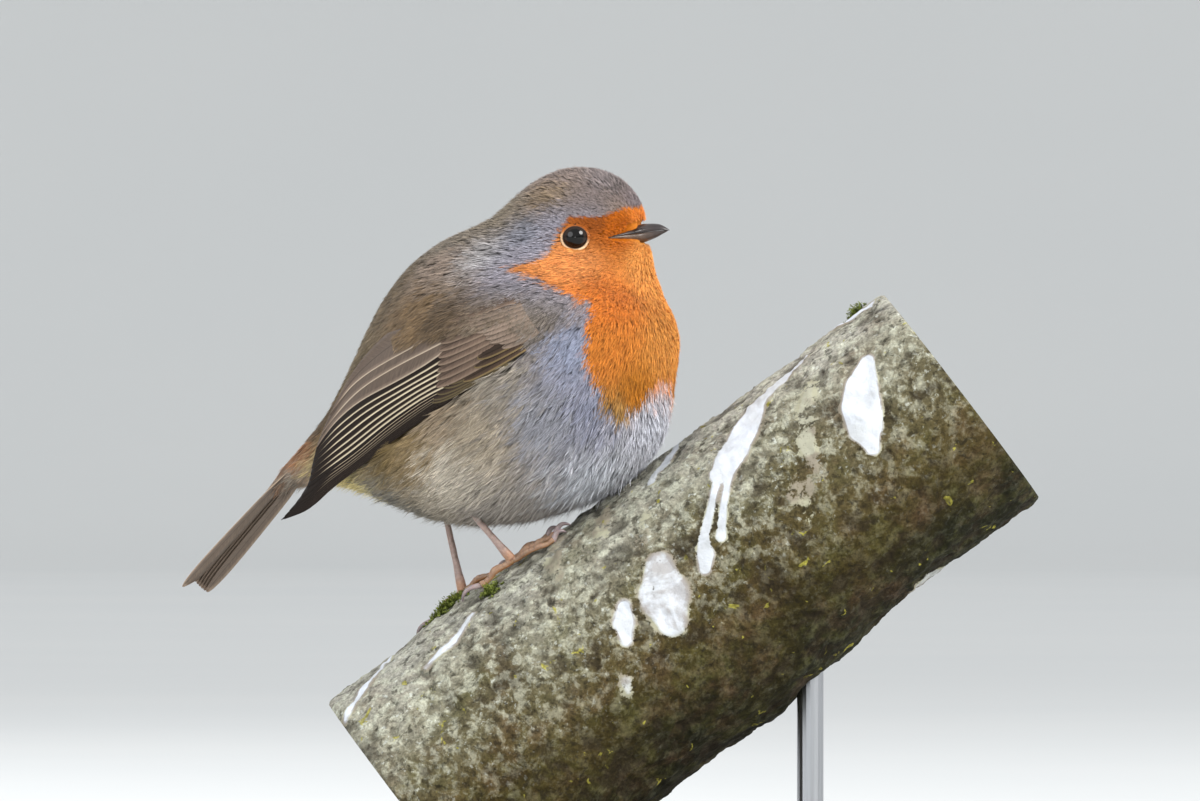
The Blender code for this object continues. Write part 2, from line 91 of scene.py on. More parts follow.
def curve_through(points, steps):
    """A smooth curve through rows of numbers, with that many steps between neighbours."""
    p = np.asarray(points, float)
    p = np.vstack([2 * p[0] - p[1], p, 2 * p[-1] - p[-2]])
    t = np.arange(steps)[:, None] / steps
    found = []
    for a, b, c, d in zip(p[:-3], p[1:-2], p[2:-1], p[3:]):
        straight = b + t * (c - a) / 2
        bent = straight + t**2 * (a - 2.5 * b + 2 * c - d / 2)
        found.append(bent + t**3 * (1.5 * (b - c) + (d - a) / 2))
    return np.vstack(found + [p[-2:-1]])


def eight_corners(values, base, share):
    """Values inside cells of a grid, blended from those at the cells' corners. The grid wraps round."""
    total = 0
    for corner in np.ndindex(2, 2, 2):
        weight = np.prod(np.where(corner, share, 1 - share), axis=-1)
        spot = (base + corner) % values.shape[:3]
        found = values[spot[..., 0], spot[..., 1], spot[..., 2]]
        total = total + (weight * found if found.ndim == weight.ndim else weight[..., None] * found)
    return total


def shifted(faces, start):
    """Polygons with start added to the numbers of their points."""
    return [tuple(i + start for i in face) for face in faces]


def flipped(faces):
    return [face[::-1] for face in faces]


def as_quads(faces):
    """Triangles and quads as rows of four, with a triangle's last point twice."""
    return np.array([f if len(f) == 4 else f + f[-1:] for f in faces])


def grid_faces(rows, columns, wrap=True):
    """Quads over a grid of points, closed round its columns if wrap."""
    index = np.arange(rows * columns).reshape(rows, columns)
    if wrap:
        index = np.hstack([index, index[:, :1]])
    corners = [index[:-1, :-1], index[:-1, 1:], index[1:, 1:], index[1:, :-1]]
    return np.stack(corners, -1).reshape(-1, 4)


def polygons_of(quads):
    return [tuple(quad) for quad in quads.tolist()]


def closed_faces(rows, columns):
    """Polygons of a closed tube of points: all round it, and over its first and its last ring."""
    first = tuple(range(columns))
    last = tuple(range((rows - 1) * columns, rows * columns))
    return polygons_of(grid_faces(rows, columns)) + [first[::-1], last]


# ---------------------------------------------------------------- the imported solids


SAME_PLACE = 1e-6  # metres: points nearer each other than this are one


def cad_mesh(node):
    """A node's points in millimetres, their normals and its faces, with doubled points merged."""
    bm = bmesh.new()
    bm.from_mesh(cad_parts[node].data)
    bmesh.ops.remove_doubles(bm, verts=bm.verts, dist=SAME_PLACE)
    bmesh.ops.recalc_face_normals(bm, faces=bm.faces)
    points = np.array([v.co for v in bm.verts]) / MM
    normals = np.array([v.normal for v in bm.verts])
    faces = [tuple(v.index for v in f.verts) for f in bm.faces]
    bm.free()
    return points, normals, faces


def cad_tree(*nodes):
    points, faces = [], []
    for node in nodes:
        p, _, f = cad_mesh(node)
        faces += shifted(f, len(points))
        points += [Vector(q) for q in p]
    return BVHTree.FromPolygons(points, faces)


def middle_of(node):
    points = cad_mesh(node)[0]
    return (points.min(0) + points.max(0)) / 2


SIDES = (("left", 1), ("right", -1))  # a side's name, and its sign: +Y is to the robin's left

# ---------------------------------------------------------------- the robin's frame

EYES_MIDDLE = np.array((13.9, 0.0, 26.4))  # in the robin's own frame, before its head turns
NECK_AXIS_X = 12.0  # the head turns about an upright line here
HEAD_TURN = 10.0  # degrees, to its left of the body
BILL_PITCH = 9.0  # degrees above level
NECK_LEAN = 29.0  # degrees: the neck is parted across a line that leans forward by this
NECK_TURNS = (15.0, 28.0)  # along that line, where the turn begins and is complete


class Axes:
    """A frame turned about +Z, in world millimetres."""

    def __init__(self, origin, forward):
        self.origin = np.asarray(origin, float)
        ahead = unit(np.array((forward[0], forward[1], 0.0)))
        self.rows = np.array([ahead, (-ahead[1], ahead[0], 0.0), (0.0, 0.0, 1.0)])

    def local(self, points):
        return (np.asarray(points, float) - self.origin) @ self.rows.T

    def world(self, points):
        return np.asarray(points, float) @ self.rows + self.origin

    def direction(self, vectors):
        return np.asarray(vectors, float) @ self.rows


def robin_axes():
    """The head's frame from its eyes, and the body's from the head's turn about the neck."""
    left, right = middle_of("eye_left"), middle_of("eye_right")
    across = left - right
    head = Axes((left + right) / 2, (across[1], -across[0]))
    neck = head.world(-EYES_MIDDLE + (NECK_AXIS_X, 0, 0))
    ahead = head.rows[0]
    body = Axes(neck, turned(ahead[0], ahead[1], math.radians(-HEAD_TURN)))
    body.origin = body.world((-NECK_AXIS_X, 0, 0))
    head.origin = head.world(-EYES_MIDDLE)
    return head, body


HEAD, BODY = robin_axes()


def head_share(local):
    """How far a point of the body's frame takes part in the head's turn, from 0 to 1."""
    lean = math.radians(NECK_LEAN)
    along = local[:, 0] * math.sin(lean) + local[:, 2] * math.cos(lean)
    return smoothstep(*NECK_TURNS, along)


def straighten(points):
    """World points in the robin's own frame, with the turn of its head undone."""
    local = BODY.local(points)
    angle = np.radians(-HEAD_TURN) * head_share(local)
    x, y = turned(local[:, 0] - NECK_AXIS_X, local[:, 1], angle)
    return np.stack([x + NECK_AXIS_X, y, local[:, 2]], 1)


def one_side(places):
    """Places in the robin's own frame as side places, which count both ways from the middle plane."""
    return np.abs(places) * (0, 1, 0) + places * (1, 0, 1)


def sideways(points):
    """Side places of world points."""
    return one_side(straighten(points))


# ---------------------------------------------------------------- materials


REFRACTION = 1.45  # of every finish


class Finish:
    """A node material built up call by call around one Principled BSDF."""

    def __init__(self, name, **settings):
        self.material = bpy.data.materials.new(name)
        self.material.use_nodes = True
        self.tree = self.material.node_tree
        self.shader = self.tree.nodes["Principled BSDF"]
        self.shader.inputs["IOR"].default_value = REFRACTION
        for name, value in settings.items():
            self.shader.inputs[name.replace("_", " ")].default_value = value

    def node(self, kind, *, out=0, settings=None, **inputs):
        """Adds a node and returns one of its outputs.

        Inputs go by their names, with _ for a space, or by their numbers as i0, i1 …
        """
        node = self.tree.nodes.new("ShaderNode" + kind)
        for key, value in (settings or {}).items():
            setattr(node, key, value)
        for key, value in inputs.items():
            numbered = key[0] == "i" and key[1:].isdigit()
            at = int(key[1:]) if numbered else key.replace("_", " ")
            if isinstance(value, bpy.types.NodeSocket):
                self.tree.links.new(value, node.inputs[at])
            else:
                node.inputs[at].default_value = value
        return node.outputs[out]

    def attribute(self, name, out="Color"):
        return self.node("Attribute", out=out, settings={"attribute_name": name})

    def value(self, name):
        """An attribute of the points that is one number."""
        return self.attribute(name, "Fac")

    def place(self):
        return self.node("TexCoord", out="Object")

    def noise(self, scale, detail=3.0, roughness=0.55, where=None, distortion=0.0):
        return self.node(
            "TexNoise", Vector=where or self.place(), Scale=scale, Detail=detail,
            Roughness=roughness, Distortion=distortion,
        )

    def ramp(self, value, *stops):
        """A colour ramp. Each stop is (place, colour or grey)."""
        output = self.node("ValToRGB", Fac=value)
        elements = output.node.color_ramp.elements
        while len(elements) < len(stops):
            elements.new(0.5)
        for element, (at, colour) in zip(elements, stops):
            element.position = at
            colour = (colour,) * 3 if np.isscalar(colour) else colour
            element.color = (*colour, 1)
        return output

    def blend(self, a, b, share, mode="MIX"):
        """Mixes two colours. A plain colour is given as three numbers."""
        fill = lambda c: c if isinstance(c, bpy.types.NodeSocket) else (*c, 1)
        return self.node(
            "MixRGB", settings={"blend_type": mode}, Fac=share, Color1=fill(a), Color2=fill(b)
        )

    def shade(self, colour, value, *stops):
        """A colour multiplied by a ramp over a value."""
        return self.blend(colour, self.ramp(value, *stops), 1.0, "MULTIPLY")

    def tint(self, colour, other, value, *stops):
        """A colour that turns into another as a ramp over a value says."""
        return self.blend(colour, other, self.ramp(value, *stops))

    def math(self, operation, a, b=0.0):
        return self.node("Math", settings={"operation": operation}, i0=a, i1=b)

    def times(self, a, b):
        return self.math("MULTIPLY", a, b)

    def sway(self, value, strength):
        """A value round 0.5 as one round 0, so many times as strong."""
        return self.times(self.math("SUBTRACT", value, 0.5), strength)

    def bump(self, height, strength, distance, before=None):
        inputs = {"Height": height, "Strength": strength, "Distance": distance * MM}
        if before is not None:
            inputs["Normal"] = before
        return self.node("Bump", **inputs)

    def set(self, **sockets):
        for name, value in sockets.items():
            self.tree.links.new(value, self.shader.inputs[name.replace("_", " ")])
        return self.material

    def grained(self, colour, scale, detail, *stops, bump):
        """The material in a colour that a fine grain shades and makes uneven."""
        grain = self.noise(scale, detail, 0.6)
        return self.set(Base_Color=self.shade(colour, grain, *stops), Normal=self.bump(grain, *bump))


def set_unwrap(mesh, uv, seam):
    """Gives points their places on an unwrap.

    seam is for an unwrap that goes right round: faces across its join are drawn to one side of it.
    """
    layer = mesh.uv_layers.new(name="OFBake")
    corners = np.empty(len(mesh.loops), np.int32)
    mesh.loops.foreach_get("vertex_index", corners)
    places = np.asarray(uv)[corners].astype(np.float32)
    if seam:
        starts = [p.loop_start for p in mesh.polygons]
        sizes = [p.loop_total for p in mesh.polygons]
        widest = np.repeat(np.maximum.reduceat(places[:, 0], starts), sizes)
        places[:, 0] = np.where(widest - places[:, 0] > 0.5, 0.999, places[:, 0])
    layer.data.foreach_set("uv", places.ravel())


def set_attribute(mesh, name, values):
    """Gives points a number each, or a colour each."""
    values = np.asarray(values, np.float32)
    if values.ndim == 2:
        colours = np.hstack([values, np.ones((len(values), 1), np.float32)])
        layer = mesh.color_attributes.new(name=name, type="FLOAT_COLOR", domain="POINT")
        layer.data.foreach_set("color", colours.ravel())
    else:
        layer = mesh.attributes.new(name, "FLOAT", "POINT")
        layer.data.foreach_set("value", values)


def mesh_piece(
    name, points, faces, finish, slot, nodes=(), smooth=True, uv=None, attributes=None, seam=False
):
    """A mesh object of the model. faces is an array of triangles or quads, or a list of polygons."""
    mesh = bpy.data.meshes.new(name)
    points = np.asarray(points, np.float64)
    if isinstance(faces, np.ndarray):
        faces = faces.astype(np.int32)
        mesh.vertices.add(len(points))
        mesh.vertices.foreach_set("co", (points * MM).ravel())
        mesh.loops.add(faces.size)
        mesh.loops.foreach_set("vertex_index", faces.ravel())
        mesh.polygons.add(len(faces))
        starts = np.arange(0, faces.size, faces.shape[1], dtype=np.int32)
        mesh.polygons.foreach_set("loop_start", starts)
        mesh.update(calc_edges=True)
    else:
        mesh.from_pydata([tuple(p) for p in points * MM], [], faces)
        mesh.update()
    mesh.polygons.foreach_set("use_smooth", np.full(len(mesh.polygons), smooth))
    if uv is not None:
        set_unwrap(mesh, uv, seam)
    for key, values in (attributes or {}).items():
        set_attribute(mesh, key, values)
    obj = bpy.data.objects.new(name, mesh)
    bpy.context.scene.collection.objects.link(obj)
    mesh.materials.append(finish)
    if slot:
        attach(obj, "root")
        if nodes:
            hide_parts(*nodes)
    return obj


def rings_along(path, up, angles, squash=1.0):
    """Directions at angles round a path, at each of its points. squash draws them out along up."""
    along = unit(np.gradient(path, axis=0))
    across = unit(np.cross(along, up))
    above = np.cross(across, along)
    cos, sin = np.cos(angles)[None, :, None], np.sin(angles)[None, :, None]
    return cos * across[:, None] + squash * sin * above[:, None]


def whole_turn(sides):
    """Angles of so many sides round a whole turn."""
    return np.linspace(0, 2 * math.pi, sides, endpoint=False)


def tube(path, radii, sides, up=(0, 0, 1), squash=1.0):
    """Points and faces of a closed tube along a path."""
    ring = rings_along(path, up, whole_turn(sides), squash)
    points = path[:, None] + ring * radii[:, None, None]
    return points.reshape(-1, 3), closed_faces(len(path), sides)


def join_parts(parts):
    """One list of points and faces from several."""
    points, faces = [], []
    for p, f in parts:
        faces += shifted(f, sum(len(q) for q in points))
        points.append(p)
    return np.vstack(points), faces


# ---------------------------------------------------------------- the plumage, region by region

# Each row: side place; colour; feather length, half-width, depth of coat, feathers for each mm².
COAT = {
    "forehead": ((25.0, 1.5, 32.0), (139, 127, 129), 1.1, 0.28, 0.35, 8.5),
    "lores": ((22.0, 6.0, 28.5), (144, 127, 112), 1.1, 0.28, 0.3, 8.5),
    "chin": ((26.0, 2.5, 23.0), (235, 156, 68), 1.7, 0.35, 0.4, 8.0),
    "round_eye": ((14.0, 10.5, 28.0), (138, 124, 115), 1.2, 0.28, 0.35, 8.5),
    "crown_front": ((19.0, 3.0, 38.0), (132, 121, 118), 1.6, 0.34, 0.6, 6.5),
    "crown": ((10.0, 4.0, 39.5), (133, 118, 109), 2.2, 0.42, 0.9, 5.0),
    "crown_side": ((8.0, 9.0, 35.0), (135, 113, 80), 2.2, 0.42, 0.8, 5.0),
    "cheek": ((12.0, 13.0, 22.0), (230, 153, 78), 2.3, 0.42, 0.45, 7.0),
    "ear": ((5.0, 11.5, 27.0), (112, 114, 119), 2.5, 0.45, 0.9, 4.5),
    "nape": ((-2.0, 5.0, 32.0), (130, 119, 103), 2.8, 0.5, 1.2, 3.6),
    "neck_side": ((-1.0, 15.0, 23.5), (168, 164, 163), 3.4, 0.6, 1.4, 3.0),
    "neck_foot": ((-9.0, 14.0, 20.0), (143, 127, 114), 3.8, 0.7, 1.4, 2.7),
    "throat": ((27.5, 4.0, 17.0), (235, 156, 68), 3.0, 0.55, 0.65, 5.8),
    "mantle_top": ((-10.0, 8.0, 25.5), (122, 112, 99), 4.0, 0.75, 1.6, 2.3),
    "mantle": ((-20.0, 8.0, 19.0), (104, 90, 71), 4.6, 0.85, 1.7, 2.1),
    "back": ((-30.0, 6.0, 6.0), (112, 98, 76), 4.8, 0.85, 1.6, 2.0),
    "rump": ((-38.0, 4.0, -7.0), (93, 76, 56), 5.2, 0.8, 1.3, 2.0),
    "uppertail": ((-45.0, 2.5, -15.5), (154, 107, 71), 5.2, 0.7, 0.6, 2.9),
    "scapular_front": ((8.0, 22.0, 14.0), (91, 77, 54), 3.6, 0.7, 0.9, 2.6),
    "scapular_rear": ((-12.0, 20.0, 11.0), (127, 104, 76), 4.8, 0.85, 1.1, 2.2),
    "lesser_coverts": ((13.0, 22.0, 11.0), (110, 99, 84), 2.6, 0.6, 0.5, 3.4),
    "breast_side": ((19.0, 19.0, 5.0), (138, 145, 165), 4.2, 0.75, 1.8, 2.3),
    "breast": ((30.0, 5.0, 4.0), (232, 140, 55), 4.2, 0.75, 1.1, 3.6),
    "breast_low": ((29.0, 3.0, -9.0), (191, 193, 202), 5.0, 0.85, 2.2, 2.0),
    "side_low": ((15.0, 21.0, -9.0), (138, 139, 146), 6.4, 0.85, 2.1, 2.0),
    "belly_front": ((20.0, 8.0, -20.0), (180, 183, 190), 7.0, 1.0, 2.5, 1.7),
    "belly": ((0.0, 9.0, -26.0), (156, 149, 142), 7.4, 1.1, 2.7, 1.6),
    "flank": ((0.0, 23.0, -12.0), (164, 152, 133), 7.2, 0.9, 2.1, 1.9),
    "flank_rear": ((-16.0, 18.0, -14.0), (139, 119, 86), 7.0, 0.9, 1.8, 2.0),
    "thigh": ((-22.0, 8.0, -23.0), (121, 117, 109), 6.8, 1.0, 2.1, 1.8),
    "vent": ((-32.0, 4.0, -20.5), (217, 201, 141), 5.4, 0.9, 1.6, 1.8),
    "brow": ((16.5, 8.4, 32.4), (126, 111, 102), 1.2, 0.28, 0.35, 8.5),
    "behind_eye": ((10.0, 10.2, 29.8), (106, 96, 90), 1.7, 0.36, 0.6, 6.5),
    "behind_cheek": ((7.5, 13.0, 24.6), (132, 124, 122), 2.3, 0.42, 0.7, 5.2),
    # Darker, as a painted shadow along the fold where the scapulars lie over the wing's coverts.
    "scapular_fold_painted_shadow": ((-5.0, 24.9, 11.1), (96, 80, 62), 4.0, 0.8, 1.0, 2.4),
    "side_front": ((22.8, 16.2, -6.1), (134, 137, 154), 5.4, 0.85, 2.1, 2.1),
    "side_low_rear": ((5.0, 24.0, -0.8), (142, 134, 122), 6.4, 0.85, 1.9, 2.1),
    # Darker than the flanks round it: partly their own colour, partly a painted shadow of the wing's lower
    # edge.
    "flank_top_painted_wing_shadow": ((-7.7, 21.8, -7.4), (149, 132, 110), 7.0, 0.9, 1.9, 2.0),
    "flank_dark": ((-20.0, 16.8, -14.0), (114, 96, 62), 6.6, 0.9, 1.8, 2.0),
    "flank_pale": ((-7.0, 17.6, -19.2), (196, 187, 172), 7.2, 1.0, 2.3, 1.8),
    "undertail": ((-44.0, 2.5, -20.5), (140, 132, 121), 5.6, 0.7, 0.9, 2.4),
}
COAT_PLACES = np.array([row[0] for row in COAT.values()])
COAT_COLOURS = np.array([rgb(*row[1]) for row in COAT.values()])
COAT_MEASURES = np.array([row[2:] for row in COAT.values()])
COAT_FALLOFF = 4  # with distance, the power by which an anchor of the coat counts for less
COAT_NEAR = 0.6  # added to every distance, so that no anchor counts for all
PLACES_AT_ONCE = 4000  # so that the tables of distances stay small

# The orange bib's edges: degrees round the robin from its front, and height in its own frame.
BIB_TOP = (
    (0, 32.4), (12, 32.0), (18, 31.1), (25, 30.2), (36, 30.3), (42, 28.1), (49, 24.5), (60, 22.2),
    (76, 20.4),
)
BIB_FOOT = (
    (0, -1.0), (6, -0.7), (11, -3.9), (16, -6.3), (25, -8.6), (30, -6.8), (33, -4.2), (37, -1.4), (40, 3.0),
    (41, 7.0), (40.5, 10.7), (41.5, 14.0), (49, 15.6), (55, 16.8), (61, 18.6), (76, 20.2),
)
BIB_RADIUS = 24.0  # turns degrees round the robin into millimetres for the distance to the bib's edge
BIB_COLOURS = {
    (25.5, 1.5, 31.0): (230, 137, 50),
    (21.5, 6.0, 28.0): (181, 93, 7),
    (17.0, 9.0, 29.5): (150, 78, 20),
    (14.0, 12.5, 22.0): (217, 143, 79),
    (26.5, 3.0, 21.0): (229, 157, 78),
    (22.0, 15.0, 14.0): (208, 119, 42),
    (30.5, 3.0, 6.0): (209, 140, 63),
    (24.0, 15.0, 4.0): (199, 121, 45),
    (27.5, 9.0, -3.0): (173, 107, 26),
    (25.5, 12.0, -8.0): (154, 119, 68),
}
BIB_PLACES = np.array(list(BIB_COLOURS))
BIB_TONES = np.array([rgb(*c) for c in BIB_COLOURS.values()])
BIB_STRAY = 0.45  # how far the bib's edge strays, for each millimetre that borders are moved
BIB_MOST_STRAY = 1.5
BIB_SOFT = 0.25  # its colour's edge is this soft, to each side
BIB_FEATHERS_SOFT = 0.5  # and this soft for the feathers' width and their dark roots
BLUE_GREY = rgb(158, 158, 174)
BLUE_GREY_WIDTH = 6.5  # the band outside the bib's edge
BLUE_GREY_STRENGTH = (0.2, 0.5)  # everywhere, and this much more at the heights below
BLUE_GREY_HEIGHTS = ((8, 20), (34, 27))  # where the band comes in from below and from above
BLUE_GREY_LENGTHS = ((24, 16), (-9, 2))  # and from before and from behind


def distances(places, anchors):
    """How far places are from every anchor, some places at a time."""
    for part in np.array_split(places, max(1, len(places) // PLACES_AT_ONCE)):
        yield np.linalg.norm(part[:, None] - anchors[None], axis=2)


def nearby(places, anchors, values):
    """Values at places, blended from those of the nearest anchors."""
    found = []
    for away in distances(places, anchors):
        weight = 1 / (away + COAT_NEAR) ** COAT_FALLOFF
        found.append(weight @ values / weight.sum(1, keepdims=True))
    return np.vstack(found)


def coat_measures(points):
    """Feather length, half-width, depth and density at world points."""
    return nearby(sideways(points), COAT_PLACES, COAT_MEASURES).T


def from_line(places, start, end):
    """How far along a straight line flat places are, from 0 to 1, and how far off it."""
    way = end - start
    share = np.clip(((places - start) @ way) / (way @ way), 0, 1)
    return share, np.linalg.norm(places - start - share[:, None] * way, axis=1)


def bib_distance(side):
    """Roughly how far side places lie inside the bib's edge; less than 0 is outside."""
    angle = np.degrees(np.arctan2(side[:, 1], side[:, 0]))
    inside = (side[:, 2] < read(BIB_TOP, angle)) & (side[:, 2] > read(BIB_FOOT, angle))
    inside &= angle < BIB_TOP[-1][0]
    at = np.stack([np.radians(angle) * BIB_RADIUS, side[:, 2]], 1)
    nearest = np.full(len(side), np.inf)
    for outline in (BIB_TOP, BIB_FOOT):
        line = np.array([(math.radians(a) * BIB_RADIUS, z) for a, z in outline])
        for a, b in zip(line[:-1], line[1:]):
            nearest = np.minimum(nearest, from_line(at, a, b)[1])
    return np.where(inside, nearest, -nearest)


def at_bib(inside):
    """How much feathers so far inside the bib's edge are like the bib's own, from 0 to 1."""
    return smoothstep(-BIB_FEATHERS_SOFT, BIB_FEATHERS_SOFT, inside)


def plumage_colour(points, ragged, rng):
    """The colour of the plumage at world points. ragged moves its borders about, in millimetres."""
    side = sideways(points)
    strayed = side + rng.normal(0, 1, side.shape) * ragged
    colour = nearby(one_side(strayed), COAT_PLACES, COAT_COLOURS)
    inside = bib_distance(side) + rng.normal(0, BIB_STRAY, len(side)) * min(ragged, BIB_MOST_STRAY)
    from_below, from_above = (smoothstep(*span, side[:, 2]) for span in BLUE_GREY_HEIGHTS)
    from_before, from_behind = (smoothstep(*span, side[:, 0]) for span in BLUE_GREY_LENGTHS)
    least, more = BLUE_GREY_STRENGTH
    band = np.exp(-((np.minimum(inside, 0) / BLUE_GREY_WIDTH) ** 2))
    band = band * (least + more * (from_below * from_above))
    colour = mix(colour, BLUE_GREY, band * from_before * from_behind)
    orange = nearby(side, BIB_PLACES, BIB_TONES)
    return mix(colour, orange, smoothstep(-BIB_SOFT, BIB_SOFT, inside)), inside


# ---------------------------------------------------------------- the outside of the plumage

VOXEL = 0.7
SWELL = 0.25  # closes the gaps between the solids before they are joined
SMOOTHING = 22  # passes
FLESH = (
    "head", "neck", "trunk", "rump", "eye_left", "eye_right", "wing_left_coverts",
    "wing_right_coverts",
)
GAPE = ((13.5, 0.9), (6.0, 0.3))  # from the bill's root to its corner, forward of and above the eyes
GAPE_DENT = 2.1  # how far the face is drawn in there
GAPE_DENT_FADES = 0.6  # the share of it that is lost at the corner
GAPE_DENT_RADIUS = 1.9
GAPE_DENT_MOST = 0.55  # of the way to the middle plane


def joined_surface(nodes):
    """The nodes as one smooth closed surface: points, normals and faces."""
    points, faces = [], []
    for node in nodes:
        p, normals, f = cad_mesh(node)
        faces += shifted(f, len(points))
        points += [tuple(q) for q in p + normals * SWELL]
    mesh = bpy.data.meshes.new("joined")
    mesh.from_pydata(points, [], faces)
    obj = bpy.data.objects.new("joined", mesh)
    bpy.context.scene.collection.objects.link(obj)
    remesh = obj.modifiers.new("remesh", "REMESH")
    remesh.mode = "VOXEL"
    remesh.voxel_size = VOXEL
    smooth = obj.modifiers.new("smooth", "SMOOTH")
    smooth.factor = 0.5
    smooth.iterations = SMOOTHING
    done = obj.evaluated_get(bpy.context.evaluated_depsgraph_get()).to_mesh()
    points = np.empty(len(done.vertices) * 3)
    done.vertices.foreach_get("co", points)
    points = points.reshape(-1, 3)
    faces = [tuple(p.vertices) for p in done.polygons]
    bpy.data.objects.remove(obj)
    points = dent_beside_bill(points)
    points = towards_eye(points, RING_RADIUS, RING_REACH)
    return points, mesh_normals(points, faces), faces


def mesh_normals(points, faces):
    quads = as_quads(faces)
    corners = points[quads]
    normals = np.cross(corners[:, 2] - corners[:, 0], corners[:, 3] - corners[:, 1])
    total = np.zeros_like(points)
    for k in range(4):
        np.add.at(total, quads[:, k], normals)
    return unit(total)


def dent_beside_bill(points):
    """Draws the face in beside the bill, as far back as the corner of its gape."""
    local = HEAD.local(points) - EYES_MIDDLE
    share, away = from_line(local[:, [0, 2]], *np.array(GAPE))
    depth = GAPE_DENT * np.exp(-((away / GAPE_DENT_RADIUS) ** 2)) * (1 - GAPE_DENT_FADES * share)
    depth = np.minimum(depth, np.abs(local[:, 1]) * GAPE_DENT_MOST)
    return points - HEAD.direction(np.stack([0 * depth, np.sign(local[:, 1]) * depth, 0 * depth], 1))


RING_RADIUS = 3.3  # the face is drawn in to this about the eyes' middles, under the lids
RING_REACH = (46.0, 74.0)  # degrees off the eye's axis, between which it rises from there
EYE_NEAR = 7.0  # only points nearer than this to an eye's middle are drawn in


def towards_eye(points, radius, reach):
    """Draws points near each eye in to a radius from its middle, up to a reach off its axis."""
    for side, sign in SIDES:
        middle = middle_of(f"eye_{side}")
        away = points - middle
        far = np.linalg.norm(away, axis=1)
        angle = np.degrees(np.arccos(np.clip(unit(away) @ eye_axis(sign), -1, 1)))
        share = smoothstep(reach[1], reach[0], angle) * (far < EYE_NEAR)
        wanted = np.minimum(far, radius * share + far * (1 - share))
        points = middle + away * (wanted / np.maximum(far, 1e-6))[:, None]
    return points


class Surface:
    """A closed surface as a grid of signed distances: quick to find the way out of, or back to, it."""

    STEP = 1.0
    REACH = 5.0

    def __init__(self, points, faces):
        self.tree = BVHTree.FromPolygons([Vector(p) for p in points], faces)
        pad = self.REACH + 2 * self.STEP
        self.low = points.min(0) - pad
        self.shape = np.ceil((points.max(0) + pad - self.low) / self.STEP).astype(int) + 1
        grid = np.full(self.shape, self.REACH)
        cells = np.unique(np.round((points - self.low) / self.STEP).astype(int), axis=0)
        near = np.zeros(self.shape, bool)
        near[tuple(cells.T)] = True
        for _ in range(int(self.REACH / self.STEP)):
            for axis in range(3):
                near |= np.roll(near, 1, axis) | np.roll(near, -1, axis)
        for cell in np.argwhere(near):
            at = Vector(self.low + cell * self.STEP)
            spot, normal, _, away = self.tree.find_nearest(at)
            grid[tuple(cell)] = math.copysign(away, (at - spot).dot(normal))
        self.grid = grid
        self.slopes = np.stack(np.gradient(grid, self.STEP), -1)

    def look_up(self, values, points):
        at = (points - self.low) / self.STEP
        base = np.clip(np.floor(at).astype(int), 0, self.shape - 2)
        return eight_corners(values, base, np.clip(at - base, 0, 1))

    def outward(self, points):
        return unit(self.look_up(self.slopes, points))

    def settle(self, points):
        """The points moved on to the surface."""
        for _ in range(2):
            points = points - self.look_up(self.grid, points)[:, None] * self.outward(points)
        return points


# ---------------------------------------------------------------- the lie of the coat

FLOW_FROM = (29.0, 0.0, 27.5)  # feathers point away from the bill …
FLOW_TO = (-75.0, 0.0, -49.0)  # … and towards a place behind the tail
FLOW_PULL = 3.0
EYE_ASIDE = 9.5  # how far the eyes are to each side
EYE_PARTING = 5.5  # round each eye, as far as this, the feathers part
EYE_PARTING_PULL = 1.3

def lie_of_coat(points, outward):
    """Unit vectors along the surface that feathers at these world points follow."""
    own = straighten(points)
    away = own - FLOW_FROM
    back = FLOW_TO - own
    flow = away / np.linalg.norm(away, axis=1, keepdims=True) ** 3
    flow = flow + FLOW_PULL * back / np.linalg.norm(back, axis=1, keepdims=True) ** 3
    flow = unit(flow)
    for _, sign in SIDES:
        eye = own - EYES_MIDDLE - (0, sign * EYE_ASIDE, 0)
        reach = np.linalg.norm(eye, axis=1, keepdims=True)
        parting = np.clip(1 - reach / EYE_PARTING, 0, 1)
        flow = flow + EYE_PARTING_PULL * eye / (reach + 0.1) * parting
    angle = np.radians(HEAD_TURN) * head_share(BODY.local(points))
    x, y = turned(flow[:, 0], flow[:, 1], angle)
    flow = BODY.direction(np.stack([x, y, flow[:, 2]], 1))
    flow = flow - np.sum(flow * outward, 1, keepdims=True) * outward
    return unit(flow)


TRIED = 2.6  # places tried for each one wanted
KEPT_APART = 0.78  # in shares of the distance that places would have on a square grid
CELL = 0.9  # of the grid that finds neighbours


def spread_points(points, faces, density, rng):
    """Seeded places on a surface, kept apart from each other, with density(places) for each mm²."""
    quads = as_quads(faces)
    tris = np.vstack([quads[:, [0, 1, 2]], quads[:, [0, 2, 3]]])
    corners = points[tris]
    edges = corners[:, 1:] - corners[:, :1]
    areas = np.linalg.norm(np.cross(edges[:, 0], edges[:, 1]), axis=1) / 2
    wanted = density(corners.mean(1))
    number = rng.poisson(areas * wanted * TRIED)
    chosen = np.repeat(np.arange(len(tris)), number)
    rng.shuffle(chosen)
    a, b = rng.random((2, len(chosen), 1))
    flip = a + b > 1
    a, b = np.where(flip, 1 - a, a), np.where(flip, 1 - b, b)
    c = corners[chosen]
    places = c[:, 0] + a * (c[:, 1] - c[:, 0]) + b * (c[:, 2] - c[:, 0])
    apart = KEPT_APART / np.sqrt(np.maximum(wanted[chosen], 1e-6))
    cells, kept = {}, []
    keys = np.floor(places / CELL).astype(int)
    around = [(i, j, k) for i in (-1, 0, 1) for j in (-1, 0, 1) for k in (-1, 0, 1)]
    rows = zip(places.tolist(), keys.tolist(), (apart**2).tolist())
    for index, (place, key, reach) in enumerate(rows):
        x, y, z = place
        close = False
        for i, j, k in around:
            for px, py, pz in cells.get((key[0] + i, key[1] + j, key[2] + k), ()):
                if (px - x) ** 2 + (py - y) ** 2 + (pz - z) ** 2 < reach:
                    close = True
                    break
            if close:
                break
        if not close:
            cells.setdefault(tuple(key), []).append((x, y, z))
            kept.append(index)
    return places[kept]


